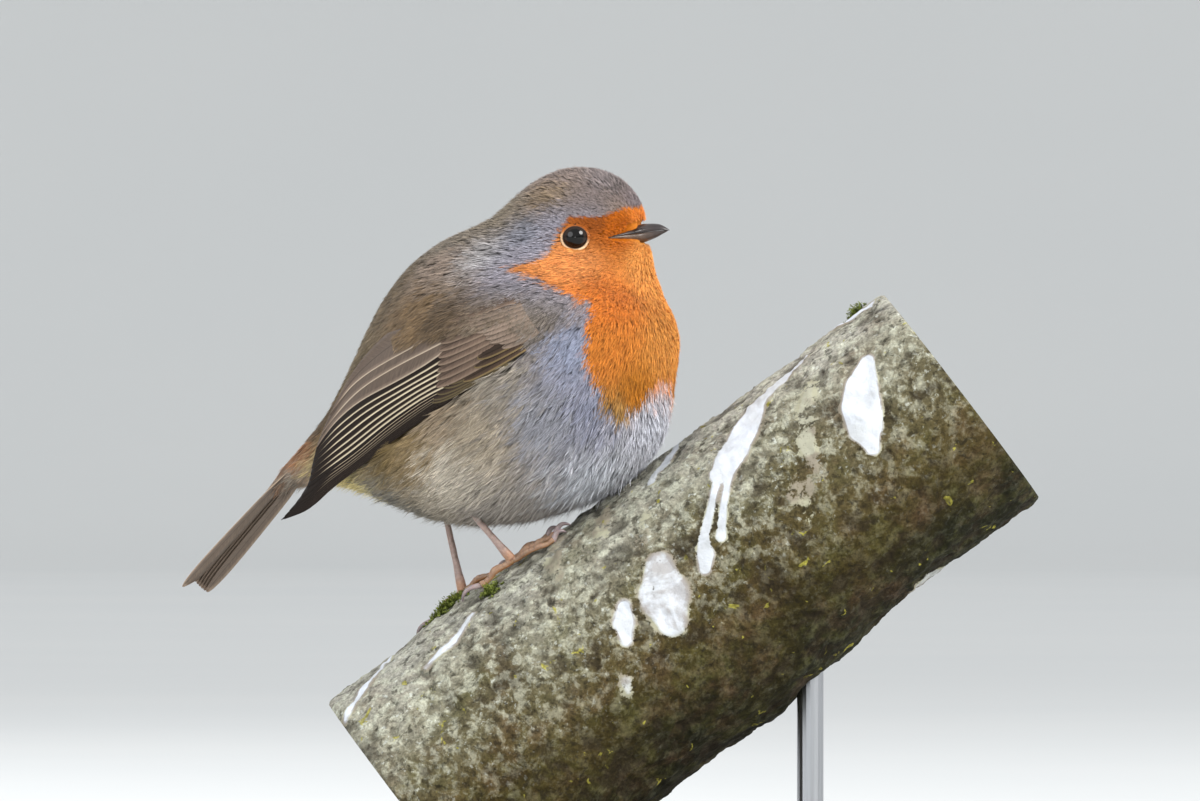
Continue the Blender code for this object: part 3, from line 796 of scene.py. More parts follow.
# ---------------------------------------------------------------- an unwrap of the skin

# A line through the robin from its bill to its tail: forward and up, in its own frame.
SPINE = np.array(
    ((30.0, 27.0), (16.0, 27.5), (4.0, 18.0), (-8.0, 2.0), (-28.0, -10.0), (-50.0, -20.0))
)
PATCH = 0.003  # the size of a feather's patch on the unwrap
MARGIN = 0.01  # of the unwrap's square that is left free round it


def unwrap(points):
    """Where world points lie on the unrolled skin: round it from under the belly, and along its spine."""
    side = straighten(points)
    flat = side[:, [0, 2]]
    lengths = np.linalg.norm(np.diff(SPINE, axis=0), axis=1)
    before = np.concatenate([[0], np.cumsum(lengths)])
    best = np.full(len(flat), np.inf)
    along, over = np.zeros(len(flat)), np.zeros(len(flat))
    for i, length in enumerate(lengths):
        way = (SPINE[i + 1] - SPINE[i]) / length
        reach = (flat - SPINE[i]) @ way
        held = np.clip(reach, 0, length)
        away = np.linalg.norm(flat - SPINE[i] - held[:, None] * way, axis=1)
        nearer = away < best
        best = np.where(nearer, away, best)
        along = np.where(nearer, before[i] + held, along)
        over = np.where(nearer, (flat - SPINE[i]) @ np.array((-way[1], way[0])) * -1, over)
    around = np.arctan2(side[:, 1], over) / (2 * math.pi) + 0.5
    used = 1 - 2 * MARGIN
    return np.stack([around * used + MARGIN, along / before[-1] * used + MARGIN], 1)


# ---------------------------------------------------------------- finishes of the plumage


def plumage_finish(name, fluff):
    """Feathers: darker at their roots, each barb a little different, with fine mottling."""
    finish = Finish(
        name, Roughness=0.78, Specular_IOR_Level=0.22, Sheen_Weight=0.12, Sheen_Roughness=0.45
    )
    along = finish.value("along")
    root = finish.ramp(along, (0.0, 1.0), (0.4, 0.36), (0.8, 0.0))
    lit = finish.math("SUBTRACT", 1.0, finish.times(root, finish.value("dusk")))
    colour = finish.blend(finish.attribute("plumage"), lit, 1.0, "MULTIPLY")
    colour = finish.shade(colour, along, (0.75, 1.0), (1.0, 1.0 + fluff))
    colour = finish.shade(colour, finish.noise(900, 4, 0.6), (0.3, 0.86), (0.7, 1.1))
    return finish.set(Base_Color=colour)


def skin_finish():
    """The down under the feathers, in the same markings, streaked and dark."""
    finish = Finish("skin_down", Roughness=0.9, Specular_IOR_Level=0.1)
    streaks = finish.noise(1500, 6, 0.7)
    colour = finish.shade(finish.attribute("plumage"), streaks, (0.3, 0.55), (0.7, 0.85))
    return finish.set(Base_Color=colour, Normal=finish.bump(streaks, 0.8, 0.2))


# ---------------------------------------------------------------- feathers of the body

# A barb is a narrow blade with two points at each of its stations but the last, where it ends in one.
BARB_STATIONS = np.array((0.0, 0.4, 0.75, 1.0))
BARB_WIDTHS = np.array((0.9, 1.0, 0.8))
BARB_FACES = np.array(((0, 3, 1), (0, 2, 3), (2, 5, 3), (2, 4, 5), (4, 6, 5)))
POINTS_OF_BARB = 7
BARB_MARKS = np.repeat(BARB_STATIONS, 2)[:POINTS_OF_BARB]  # the station of each point
PATH_STEPS = 4
MOST_TRIANGLES = 198000  # of one piece of the coat

# Pieces of the coat: regions; barbs in a feather, their width, how far its tip lifts, curls and
# strays (degrees), how ragged the borders of colour are, how feathers and barbs vary in their
# colour, and its slot.
COAT_PIECES = {
    "coat_face": (
        ("forehead", "lores", "chin", "round_eye", "brow"),
        6, 0.075, 0.02, 0.2, 8, 0.3, 0.07, "plumage_orange",
    ),
    "coat_crown": (
        ("crown_front", "crown", "crown_side", "behind_eye"),
        7, 0.09, 0.1, 0.25, 12, 0.7, 0.26, "plumage_brown",
    ),
    "coat_cheeks": (
        ("cheek", "ear", "behind_cheek"),
        7, 0.09, 0.06, 0.2, 9, 0.6, 0.13, "plumage_orange",
    ),
    "coat_nape": (
        ("nape", "neck_side", "neck_foot"),
        8, 0.11, 0.12, 0.3, 10, 0.9, 0.15, "plumage_brown",
    ),
    "coat_throat": (
        ("throat",),
        8, 0.12, 0.06, 0.25, 9, 0.8, 0.07, "plumage_orange",
    ),
    "coat_breast": (
        ("breast", "breast_side"),
        10, 0.14, 0.1, 0.25, 8, 1.2, 0.1, "plumage_orange",
    ),
    "coat_lower_breast": (
        ("breast_low", "side_low", "side_front", "side_low_rear"),
        10, 0.14, 0.18, 0.35, 10, 1.6, 0.15, "plumage_pale",
    ),
    "coat_belly": (
        ("belly_front", "belly"),
        11, 0.15, 0.4, 0.4, 11, 2.0, 0.15, "plumage_pale",
    ),
    "coat_flanks": (
        ("flank", "flank_rear", "flank_top_painted_wing_shadow", "flank_dark", "flank_pale"),
        11, 0.13, 0.16, 0.35, 10, 1.8, 0.17, "plumage_pale",
    ),
    "coat_vent": (
        ("thigh", "vent", "undertail"),
        11, 0.15, 0.35, 0.4, 11, 1.8, 0.15, "plumage_pale",
    ),
    "coat_mantle": (
        ("mantle_top", "mantle"),
        10, 0.13, 0.08, 0.25, 8, 1.4, 0.17, "plumage_brown",
    ),
    "coat_back": (
        ("back", "rump", "uppertail"),
        10, 0.13, 0.06, 0.25, 8, 1.4, 0.15, "plumage_brown",
    ),
    "coat_scapulars": (
        ("scapular_front", "scapular_rear", "scapular_fold_painted_shadow"),
        11, 0.12, 0.1, 0.25, 7, 1.4, 0.14, "plumage_brown",
    ),
    "coat_shoulders": (
        ("lesser_coverts",),
        9, 0.1, 0.06, 0.2, 7, 1.0, 0.13, "plumage_brown",
    ),
}
FEATHER_NARROWED = (0.66, 0.95)  # of the half-widths in COAT: plain feathers and orange ones
FEATHER_SIZES = (0.8, 1.2)  # of the measures in COAT
BARB_LENGTHS = (0.62, 1.12)  # in shares of the feather's length
BARB_THICKNESSES = (0.75, 1.25)  # in shares of the piece's own
BARB_STRAY = 0.5  # how unevenly barbs are set: half-widths of the feather, over their number
OUTER_SHORTER = 0.3  # barbs at a feather's sides are shorter by this share
ROOT_WIDTH = 0.22  # a feather's width at its root, in shares of its widest
OPENING = 1.7  # the power by which a feather opens out from there
BARB_BEND = 0.16  # how far barbs bend aside, in half-widths of the feather
FEATHER_LIFT = 0.6  # the mean lift of a feather's tip, in shares of the piece's own
BARB_LIFT = 0.5  # the same of a single barb's tip
MOST_LIFT = 2.2  # of a feather's tip, and half of the most of a barb's
RISE = 1.4  # the power by which a feather rises from the depth of its root
BARB_UNEVEN = 0.1  # millimetres up and down
BARB_ROLL = 0.35  # radians that the outer barbs are rolled outward
BARB_ROLL_STRAY = 0.3


def along_path(values, at):
    """Values (tufts, steps, 3) read at places (tufts, n) from 0 to 1 along each path."""
    place = np.clip(at * PATH_STEPS, 0, PATH_STEPS - 1e-4)
    base = place.astype(int)
    low = np.take_along_axis(values, base[..., None], axis=1)
    high = np.take_along_axis(values, base[..., None] + 1, axis=1)
    return mix(low, high, place - base)


def blades(middle, edge):
    """Points and faces of barbs: middle lines (barbs, 4, 3), and the ways from there to one edge."""
    left, right = middle[:, :3] - edge, middle[:, :3] + edge
    sides = np.stack([left, right], 2).reshape(len(middle), 6, 3)
    points = np.concatenate([sides, middle[:, 3:]], 1)
    faces = (np.arange(len(middle)) * POINTS_OF_BARB)[:, None, None] + BARB_FACES
    return points.reshape(-1, 3), faces.reshape(-1, 3), np.tile(BARB_MARKS, len(middle))


def tufts(surface, roots, rng, barbs, width, lift, curl, stray, measures):
    """Feathers that grow from roots along a surface: points, faces, unwrap and place along each.

    Every feather is a fan of barbs on a path that follows the lie of the coat.
    """
    number = len(roots)
    length, half, depth = (m * rng.uniform(*FEATHER_SIZES, number) for m in measures)
    half = half * between(FEATHER_NARROWED, at_bib(bib_distance(sideways(roots))))
    angle = np.radians(rng.normal(0, stray, number))[:, None]
    path, lies, outs = [], [], []
    at = roots
    for _ in range(PATH_STEPS + 1):
        out = surface.outward(at)
        lie = lie_of_coat(at, out)
        lie = lie * np.cos(angle) + np.cross(out, lie) * np.sin(angle)
        path.append(at)
        lies.append(lie)
        outs.append(out)
        at = surface.settle(at + lie * (length / PATH_STEPS)[:, None])
    path, lies, outs = (np.stack(rows, 1) for rows in (path, lies, outs))
    sides = np.cross(outs, lies)
    each = (number, barbs)
    spread = np.linspace(-1, 1, barbs)[None] + rng.normal(0, BARB_STRAY / barbs, each)
    reach = (1 - OUTER_SHORTER * spread**2) * rng.uniform(*BARB_LENGTHS, each)
    station = BARB_STATIONS[None, None]
    at = (reach[..., None] * station).reshape(number, -1)
    place, side, out = (along_path(v, at).reshape(number, barbs, -1, 3) for v in (path, sides, outs))
    opened = ROOT_WIDTH + (1 - ROOT_WIDTH) * (1 - (1 - station) ** OPENING)
    across = (spread * half[:, None])[..., None] * opened
    curled = curl * half[:, None] * rng.normal(0, 1, (number, 1))
    across = across + curled[..., None] * station**2
    bent = rng.normal(0, BARB_BEND, each) * half[:, None]
    across = across + bent[..., None] * station**2
    raised = np.minimum(rng.exponential(FEATHER_LIFT, (number, 1, 1)), MOST_LIFT)
    raised = raised + np.minimum(rng.exponential(BARB_LIFT, (*each, 1)) ** 2, 2 * MOST_LIFT)
    up = -depth[:, None, None] * (1 - station) ** RISE + lift * raised * station**2
    up = up + rng.uniform(-BARB_UNEVEN, BARB_UNEVEN, (*each, 1)) * (0.3 + station)
    middle = place + side * across[..., None] + out * up[..., None]
    roll = spread * BARB_ROLL + rng.normal(0, BARB_ROLL_STRAY, each)
    edge = side * np.cos(roll)[..., None, None] + out * -np.sin(roll)[..., None, None]
    wide = width * rng.uniform(*BARB_THICKNESSES, each)[..., None] * BARB_WIDTHS
    edge = edge[:, :, :3] * wide[..., None] / 2
    points, faces, along = blades(middle.reshape(-1, 4, 3), edge.reshape(-1, 3, 3))
    home = unwrap(roots)[:, None, None]
    patch = np.stack(np.broadcast_arrays(spread[..., None] / 2, BARB_MARKS - 0.5), -1) * PATCH
    return points, faces, (home + patch).reshape(-1, 2), along


PALE_BARBS = 0.1  # the share of barbs that are paler
PALER = 0.32
PALE_BARBS_FROM = 0.1  # only coats whose barbs vary more than this have any
FEATHER_TONES = (0.6, 1.4)
BARB_TONES = (0.5, 1.5)


def vary(colour, number, rng, feathers, barbs):
    """Colours (feathers, 3) spread over their barbs (feathers x barbs, 3), each a bit different."""
    feather = rng.normal(1, feathers, (len(colour), 1, 1))
    barb = rng.normal(1, barbs, (len(colour), number, 1))
    barb = barb + PALER * (rng.random(barb.shape) < PALE_BARBS) * (barbs > PALE_BARBS_FROM)
    toned = colour[:, None] * np.clip(feather, *FEATHER_TONES) * np.clip(barb, *BARB_TONES)
    return toned.reshape(-1, 3)


# ---------------------------------------------------------------- the folded wing as a sheet

# Lines across the folded wing, from the shoulder to its tip: upper edge and lower edge, each as
# forward and up in the robin's own frame. A place on the wing is (line, share from its upper to its
# lower edge).
WING_LINES = (
    (13.4, 18.0, 17.8, 13.0),
    (10.2, 18.0, 15.8, 8.6),
    (2.2, 16.2, 10.2, 4.0),
    (-8.0, 13.0, -0.4, -2.4),
    (-18.6, 8.0, -9.6, -7.4),
    (-26.4, 2.0, -18.0, -12.0),
    (-31.7, -4.8, -25.6, -16.8),
    (-35.6, -12.0, -32.0, -21.0),
    (-38.6, -19.8, -37.0, -25.0),
    (-43.0, -26.4, -42.8, -27.2),
)
WING_FINENESS = 6  # samples between lines
WING_SHARES = 21  # samples across
WING_READ = (0.05, 0.95)  # shares between which the solids are read
WELL_OUTSIDE = 60.0
WING_PASSES = 6  # of smoothing
WING_SEARCHED = (181, 41)  # places along and across it that find() picks from
LEFT_TIP_HELD = 7.0  # the left wing's tip is held higher by this, behind the tail
LEFT_TIP_LINES = (3.6, 8.0)  # between which it rises to that
# Where the scapulars end on the wing: (line, share).
SCAPULAR_EDGE = (
    (0.0, 0.95), (0.5, 0.66), (1.95, 0.48), (2.75, 0.36), (3.4, 0.22), (4.1, 0.09), (4.8, 0.0),
)
UNDER_SCAPULARS = 0.13  # how far the flight feathers reach under them, in shares of the width


def read_grid(grid, row, column, next_column, u, v):
    """Values between the points of a grid, u of the way to the next row and v to the next column."""
    here = grid[row, column] * (1 - u) + grid[row + 1, column] * u
    beside = grid[row, next_column] * (1 - u) + grid[row + 1, next_column] * u
    return here * (1 - v) + beside * v


class WingSheet:
    """The outer face of a folded wing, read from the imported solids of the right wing."""

    def __init__(self):
        self.rows = curve_through(WING_LINES, WING_FINENESS)
        self.lines = np.arange(len(self.rows)) / WING_FINENESS
        self.shares = np.linspace(0, 1, WING_SHARES)
        tree = cad_tree("wing_right_coverts", "wing_right_flight")
        inward = Vector(BODY.direction((0, 1, 0)))
        heights = np.full((len(self.rows), WING_SHARES), np.nan)
        for i in range(len(self.rows)):
            for k, share in enumerate(self.shares):
                x, z = self.flat(self.lines[i], np.clip(share, *WING_READ))
                hit = tree.ray_cast(Vector(BODY.world((x, -WELL_OUTSIDE, z))), inward)[0]
                if hit is not None:
                    heights[i, k] = -BODY.local(np.array(hit))[1]
        self.heights = self.filled(heights)

    @staticmethod
    def filled(heights):
        """The heights with the gaps between them filled in, and smoothed."""
        known = ~np.isnan(heights)
        for row, found in zip(heights, known):
            if found.any():
                at = np.flatnonzero(found)
                row[:] = np.interp(np.arange(len(row)), at, row[at])
        rows = np.flatnonzero(known.any(1))
        for k in range(heights.shape[1]):
            heights[:, k] = np.interp(np.arange(len(heights)), rows, heights[rows, k])
        for _ in range(WING_PASSES):
            padded = np.pad(heights, 1, mode="edge")
            total = padded[:-2, 1:-1] + padded[2:, 1:-1] + padded[1:-1, :-2] + padded[1:-1, 2:]
            heights = (total + 2 * heights) / 6
        return heights

    def flat(self, line, share):
        """Places on the wing as forward and up in the robin's own frame."""
        row = [np.interp(line, self.lines, self.rows[:, c]) for c in range(4)]
        return between((row[0], row[2]), share), between((row[1], row[3]), share)

    def height(self, line, share):
        """How far the wing's face is from the middle plane."""
        i = np.clip(np.asarray(line) * WING_FINENESS, 0, len(self.lines) - 1.001)
        k = np.clip(np.asarray(share) * (WING_SHARES - 1), 0, WING_SHARES - 1.001)
        a, b = i.astype(int), k.astype(int)
        return read_grid(self.heights, a, b, b + 1, i - a, k - b)

    def place(self, line, share, lift, sign):
        """World points of places on the wing, lifted outward. sign is 1 for the left wing."""
        x, z = self.flat(line, share)
        if sign > 0:
            z = z + LEFT_TIP_HELD * smoothstep(*LEFT_TIP_LINES, line)
        return BODY.world(np.stack([x, sign * (self.height(line, share) + lift), z], -1))

    def find(self, side):
        """The nearest places on the wing to side places: line, share, and how far off they are."""
        rows, columns = WING_SEARCHED
        lines = np.linspace(0, self.lines[-1], rows)
        lines, shares = np.meshgrid(lines, np.linspace(0, 1, columns), indexing="ij")
        lines, shares = lines.ravel(), shares.ravel()
        x, z = self.flat(lines, shares)
        tree = KDTree(len(lines))
        for i, place in enumerate(zip(x, z)):
            tree.insert((*place, 0.0), i)
        tree.balance()
        found = [tree.find((x, z, 0.0))[1:] for x, z in side[:, [0, 2]].tolist()]
        best = np.array([index for index, _ in found])
        return lines[best], shares[best], np.array([away for _, away in found])


WING = WingSheet()
WING_STANDS_OUT = 11.0  # the wings' outer faces are further than this from the middle plane
ON_WING = 0.8  # how far off the wing, seen from the side, a place still counts as on it
BARE_FROM_LINE = 1.5  # behind this, no feathers of the body grow on the wing below the scapulars
# The hind part of the wing is bare where it lies close against the body too.
BARE_BEHIND_LINE = 4.2
BARE_BEHIND_SHARES = (0.12, 0.85)
BARE_BEHIND_STANDS_OUT = 6.0
BARE_ROUND_EYE = 3.8  # only so near an eye's middle is the coat bare for it
BILL_ROOT = np.array((12.1, 0.0, 0.9))  # forward of and above the eyes' middle
# How far above and below the mouth's line the bill is bare, along the bill from its root.
BILL_FEATHERS_ABOVE = ((-5.7, 0.1), (-4.2, 0.3), (-3.0, 0.75), (-2.1, 1.5), (-1.0, 2.1), (5.0, 3.0))
BILL_FEATHERS_BELOW = ((-5.7, 0.3), (-4.0, 0.9), (-1.6, 1.3), (0.4, 2.2), (5.0, 3.0))


def in_bill(points):
    """World points as (along, aside, above) in the bill's own frame."""
    local = HEAD.local(points) - EYES_MIDDLE - BILL_ROOT
    x, z = turned(local[:, 0], local[:, 2], -math.radians(BILL_PITCH))
    return np.stack([x, local[:, 1], z], 1)


def bill_edges(along):
    """How far above and below the mouth's line the bill is bare."""
    return read(BILL_FEATHERS_ABOVE, along), read(BILL_FEATHERS_BELOW, along)


def coat_is_bare(points):
    """Where no feather of the body grows: on the wings, round the eyes, at the bill, on the tail."""
    side = sideways(points)
    line, share, away = WING.find(side)
    on_wing = away < ON_WING
    low, high = BARE_BEHIND_SHARES
    bare = on_wing & (side[:, 1] > WING_STANDS_OUT)
    bare &= (share > read(SCAPULAR_EDGE, line)) & (line > BARE_FROM_LINE)
    behind = on_wing & (side[:, 1] > BARE_BEHIND_STANDS_OUT)
    bare |= behind & (line > BARE_BEHIND_LINE) & (share > low) & (share < high)
    for name, sign in SIDES:
        off = points - middle_of(f"eye_{name}")
        near = np.linalg.norm(off, axis=1) < BARE_ROUND_EYE
        off = unit(off)
        angle = np.degrees(np.arccos(np.clip(off @ eye_axis(sign), -1, 1)))
        ahead = np.clip(off @ HEAD.direction((1.0, 0.0, 0.0)), 0, 1)
        bare |= near & (angle < LID_OUTSIDE + BEFORE_LIDS * ahead)
    bill = in_bill(points)
    upper, lower = bill_edges(bill[:, 0])
    beside_bill = bill[:, 0] > BILL_FEATHERS_ABOVE[0][0]
    bare |= beside_bill & (bill[:, 2] < upper) & (bill[:, 2] > -lower)
    slope = math.radians(TAIL_SLOPE)
    from_root = side - TAIL_ROOT
    along_tail = -from_root[:, 0] * math.cos(slope) - from_root[:, 2] * math.sin(slope)
    return bare | (along_tail > TAIL_BARE)


# ---------------------------------------------------------------- long feathers

VANE_STEPS = 24
VANE_CROWDED = 1.6  # the power by which the steps crowd towards the tip
VANE_ACROSS = np.array((-1.0, -0.7, -0.35, -0.08, 0.08, 0.35, 0.62, 0.82, 1.0))
SHAFT = 4  # the column of VANE_ACROSS beside the shaft
VANE_THICKNESS = 0.1
RIPPLE = 0.02
TIP_FRINGE = 0.8  # a distance to the tip counts as this much of one to the edge
BARE_TIP_FROM = (0.8, 0.98)  # along the feather, where a bare tip's fringe fades out
# Feathers' lower faces are paler than their webs, and this colour is lighter still as painted light, to
# make up for the shade they lie in.
UNDERSIDE_PALE_WITH_PAINTED_LIGHT = rgb(166, 148, 133)
UNDERSIDE_SHARE = 0.75  # of that colour in a feather's lower face


def vane(
    place, inner, outer, first, last, lift,
    point=9.0, camber=0.12, tilt=0.08, ripple=None, bare_tip=0.0, flip=False,
):
    """One long feather, a closed solid. inner and outer give its edges at lines from first to last.

    point is how blunt its tip is, and ripple a generator that makes it uneven. bare_tip is how far
    off its edge, in millimetres, the tip counts as, so that its fringe fades out there. flip is for
    places that turn the solid inside out.
    """
    along = 1 - (1 - np.linspace(0, 1, VANE_STEPS)) ** VANE_CROWDED
    line = between((first, last), along)
    a, b = inner(line), outer(line)
    rounding = np.sqrt(np.clip(1 - along**point, 0, 1))
    share = ((a + b) / 2)[:, None] + ((b - a) / 2 * rounding)[:, None] * VANE_ACROSS
    line = np.broadcast_to(line[:, None], share.shape)
    height = lift + camber * (1 - VANE_ACROSS**2) + tilt * VANE_ACROSS + 0 * share
    if ripple is not None:
        height = height + ripple.normal(0, RIPPLE, share.shape)
    top = place(line, share, height)
    bottom = place(line, share, height - VANE_THICKNESS)
    wide = np.linalg.norm(top[:, -1] - top[:, 0], axis=1) / 2
    edge = (1 - VANE_ACROSS) * wide[:, None]
    steps = np.linalg.norm(np.diff(top[:, SHAFT], axis=0), axis=1)
    run = np.concatenate([[0], np.cumsum(steps)])
    if bare_tip:
        edge = edge + bare_tip * smoothstep(*BARE_TIP_FROM, run / run[-1])[:, None]
    else:
        edge = np.minimum(edge, (run[-1] - run)[:, None] * TIP_FRINGE)
    web = np.stack([np.broadcast_to(run[:, None], edge.shape), VANE_ACROSS * wide[:, None]], -1)
    rows, columns = share.shape
    number = rows * columns
    index = np.arange(number).reshape(rows, columns)
    quads = grid_faces(rows, columns, wrap=False)
    rim = np.concatenate([index[0, :-1], index[:-1, -1], index[-1, :0:-1], index[:0:-1, 0]])
    around = np.stack([rim, np.roll(rim, -1), np.roll(rim, -1) + number, rim + number], 1)
    faces = np.vstack([quads, quads[:, ::-1] + number, around[:, ::-1]])
    cell = np.meshgrid(np.linspace(0, 1, rows), np.linspace(0, 0.45, columns), indexing="ij")
    cell = np.stack(cell, -1).reshape(-1, 2)
    twice = lambda values: np.concatenate([values.reshape(number, -1)] * 2)
    return {
        "points": np.concatenate([top.reshape(-1, 3), bottom.reshape(-1, 3)]),
        "faces": faces[:, ::-1] if flip else faces,
        "edge": twice(edge)[:, 0],
        "web": twice(web),
        "cell": np.concatenate([cell, cell + (0, 0.5)]),
    }


WEBS_APART = 7.3  # so far apart do the webs of neighbouring feathers lie in the noise of their finish
CELL_MARGIN = 0.05  # left free round each feather's cell of the unwrap


def vanes_piece(name, vanes, colours, finish, slot, nodes):
    """Joins long feathers into one piece. colours gives each one's web and fringe colour."""
    grid = math.ceil(math.sqrt(len(vanes)))
    points, faces, edge, web, uv, plain, fringe = [], [], [], [], [], [], []
    start = 0
    for i, (feather, (web_colour, fringe_colour)) in enumerate(zip(vanes, colours)):
        count = len(feather["points"])
        points.append(feather["points"])
        faces.append(feather["faces"] + start)
        start += count
        edge.append(feather["edge"])
        web.append(np.hstack([feather["web"], np.full((count, 1), i * WEBS_APART)]))
        corner = np.array((i % grid, i // grid))
        uv.append((corner + CELL_MARGIN + feather["cell"] * (1 - 2 * CELL_MARGIN)) / grid)
        below = (np.arange(count) >= count / 2) * UNDERSIDE_SHARE
        plain.append(mix(web_colour, UNDERSIDE_PALE_WITH_PAINTED_LIGHT, below))
        fringe.append(mix(fringe_colour, UNDERSIDE_PALE_WITH_PAINTED_LIGHT, below))
    attributes = {
        "edge": np.concatenate(edge), "web": np.vstack(web),
        "plumage": np.vstack(plain), "fringe": np.vstack(fringe),
    }
    mesh_piece(
        name, np.vstack(points), np.vstack(faces), finish, slot, nodes,
        uv=np.vstack(uv), attributes=attributes,
    )


def vane_finish(name, fringe_width, fringe_strength=1.0):
    """A feather's web: fine slanting barbs, a darker shaft, a paler fringe on its outer edge, and painted
    shade towards its inner edge, where the next feather lies over it.
    """
    finish = Finish(name, Roughness=0.6, Specular_IOR_Level=0.16)
    along, across, which = finish.node("SeparateXYZ", Vector=finish.attribute("web")).node.outputs
    away = finish.math("ABSOLUTE", across)
    slant = finish.math("ADD", along, finish.times(away, -1.1))
    vector = finish.node("CombineXYZ", X=finish.times(slant, 9.0), Y=away, Z=which)
    barbs = finish.noise(1.0, 2, 0.5, where=vector)
    patchy = finish.noise(0.35, 2, 0.5, where=vector)
    colour = finish.shade(finish.attribute("plumage"), barbs, (0.25, 0.72), (0.75, 1.2))
    colour = finish.shade(colour, patchy, (0.3, 0.85), (0.7, 1.12))
    # Lighter by the outer edge and darker towards the inner edge: partly the web's own colour, partly
    # painted shade where the next feather lies over it.
    colour = finish.shade(colour, finish.value("edge"), (0.3, 1.15), (0.95, 0.62))
    wavering = finish.math("MULTIPLY_ADD", barbs, 0.06)
    wavering.node.inputs[2].default_value = -0.03
    edge = finish.math("ADD", finish.value("edge"), wavering)
    inside = (fringe_width * 0.6, fringe_strength)
    outside = (min(1.0, fringe_width * 1.25), 0.0)
    colour = finish.tint(colour, finish.attribute("fringe"), edge, inside, outside)
    colour = finish.shade(colour, away, (0.05, 0.55), (0.13, 1.0))
    return finish.set(Base_Color=colour, Normal=finish.bump(barbs, 0.5, 0.05))


# Flight feathers from the innermost tertial to the outermost primary. Each row: the line that its
# tip reaches, and the share of the wing's width at which its outer edge lies, on EDGE_LINES and at
# its tip.
EDGE_LINES = (3.2, 5.0, 6.7)
TERTIALS = (
    (6.3, 0.32, 0.16, 0.03, 0.03), (6.8, 0.44, 0.28, 0.07, 0.06), (7.1, 0.555, 0.41, 0.14, 0.1),
)
SECONDARIES = (
    (7.2, 0.62, 0.49, 0.22, 0.14), (7.3, 0.68, 0.56, 0.31, 0.2), (7.4, 0.73, 0.63, 0.41, 0.26),
    (7.5, 0.78, 0.70, 0.51, 0.33), (7.6, 0.825, 0.76, 0.60, 0.4), (7.7, 0.87, 0.81, 0.68, 0.46),
)
PRIMARIES = (
    (7.85, 0.895, 0.85, 0.75, 0.5), (8.15, 0.915, 0.88, 0.8, 0.52), (8.4, 0.93, 0.905, 0.84, 0.55),
    (8.65, 0.945, 0.925, 0.87, 0.58), (8.85, 0.96, 0.945, 0.9, 0.64), (9.0, 0.972, 0.96, 0.93, 0.72),
    (9.0, 0.985, 0.975, 0.955, 0.85), (8.9, 0.995, 0.99, 0.98, 0.97), (8.2, 1.01, 1.005, 1.0, 1.0),
)
FLIGHT_START = 2.5
FLIGHT_WIDTH = (0.3, 0.36)  # in shares of the wing's width, where it starts and at the tip
FLIGHT_LIFT = -0.15  # of the innermost tertial, over the wing's face
LAYER = 0.085  # each feather lies this much under the one before it
FLIGHT_POINT = 14.0
FLIGHT_BARE_TIP = 0.35
WEB_TERTIAL = rgb(118, 102, 90)
WEB_DARK = rgb(36, 26, 20)
WEB_PRIMARY = rgb(40, 32, 27)
FRINGE_BUFF = rgb(216, 200, 172)
FRINGE_TERTIAL = rgb(186, 168, 148)
PRIMARY_EDGE = 3.0  # primaries' fringes are so many times narrower
FRINGE_PRIMARY = (rgb(186, 168, 142), rgb(40, 32, 27))  # of the innermost and the outer ones
FRINGED_PRIMARIES = 4  # over so many feathers the first of these turns into the second


def rail(ends, first, last):
    """An edge that runs from one share of the wing's width to another."""
    return lambda line: between(ends, np.clip((line - first) / (last - first), 0, 1))


def edge_through(last, *shares):
    """A smooth outer edge through shares on EDGE_LINES and at the tip."""
    bends = np.polyfit((*EDGE_LINES, last), shares, 3)
    return lambda line: np.clip(np.polyval(bends, line), 0.02, 1.02)


def covered(line):
    """The share of the wing's width above which the scapulars hide the flight feathers."""
    return np.maximum(read(SCAPULAR_EDGE, line) - UNDER_SCAPULARS, -0.01)


def flight_vanes(sign, rng):
    place = lambda line, share, lift: WING.place(line, share, lift, sign)
    vanes, colours = [], []
    groups = (
        (TERTIALS, WEB_TERTIAL, FRINGE_TERTIAL), (SECONDARIES, WEB_DARK, FRINGE_BUFF),
        (PRIMARIES, WEB_PRIMARY, None),
    )
    for group, web, fringe in groups:
        for i, (last, *shares) in enumerate(group):
            outer = edge_through(last, *shares)
            width = rail(FLIGHT_WIDTH, FLIGHT_START, last)
            inner = lambda line, outer=outer, width=width: np.maximum(
                outer(line) - width(line), covered(line)
            )
            feather = vane(
                place, inner, outer, FLIGHT_START, last, FLIGHT_LIFT - len(vanes) * LAYER,
                point=FLIGHT_POINT, bare_tip=FLIGHT_BARE_TIP, flip=sign > 0,
            )
            pale = fringe
            if fringe is None:
                feather["edge"] = feather["edge"] * PRIMARY_EDGE
                pale = mix(*FRINGE_PRIMARY, min(1.0, i / FRINGED_PRIMARIES))
            vanes.append(feather)
            colours.append((web * rng.uniform(0.9, 1.1), pale * rng.uniform(0.9, 1.05)))
    return vanes, colours


# Rows of coverts: number, line of roots, lines of tips (first and last), outer edges (first and
# last), width, lifts (first and last), web, fringe.
COVERT_ROWS = {
    "primary": (
        5, 2.2, (3.2, 3.75), (0.93, 1.01), 0.16, (-0.75, -1.15), rgb(58, 46, 38), rgb(120, 108, 74),
    ),
    "alula": (
        3, 1.75, (2.5, 2.9), (0.88, 1.0), 0.13, (-0.2, -0.55), rgb(64, 50, 40), rgb(146, 126, 84),
    ),
    "greater": (
        10, 1.3, (2.7, 3.4), (0.34, 0.91), 0.15, (0.15, -0.5), rgb(104, 86, 74), rgb(146, 128, 110),
    ),
    "median": (
        9, 1.2, (2.4, 2.1), (0.42, 0.92), 0.14, (0.15, -0.15), rgb(118, 102, 90), rgb(134, 118, 104),
    ),
}
COVERT_NARROWS = 0.02  # a covert's outer edge is further out at its root and in at its tip by this
COVERT_TIPS_STRAY = 0.05


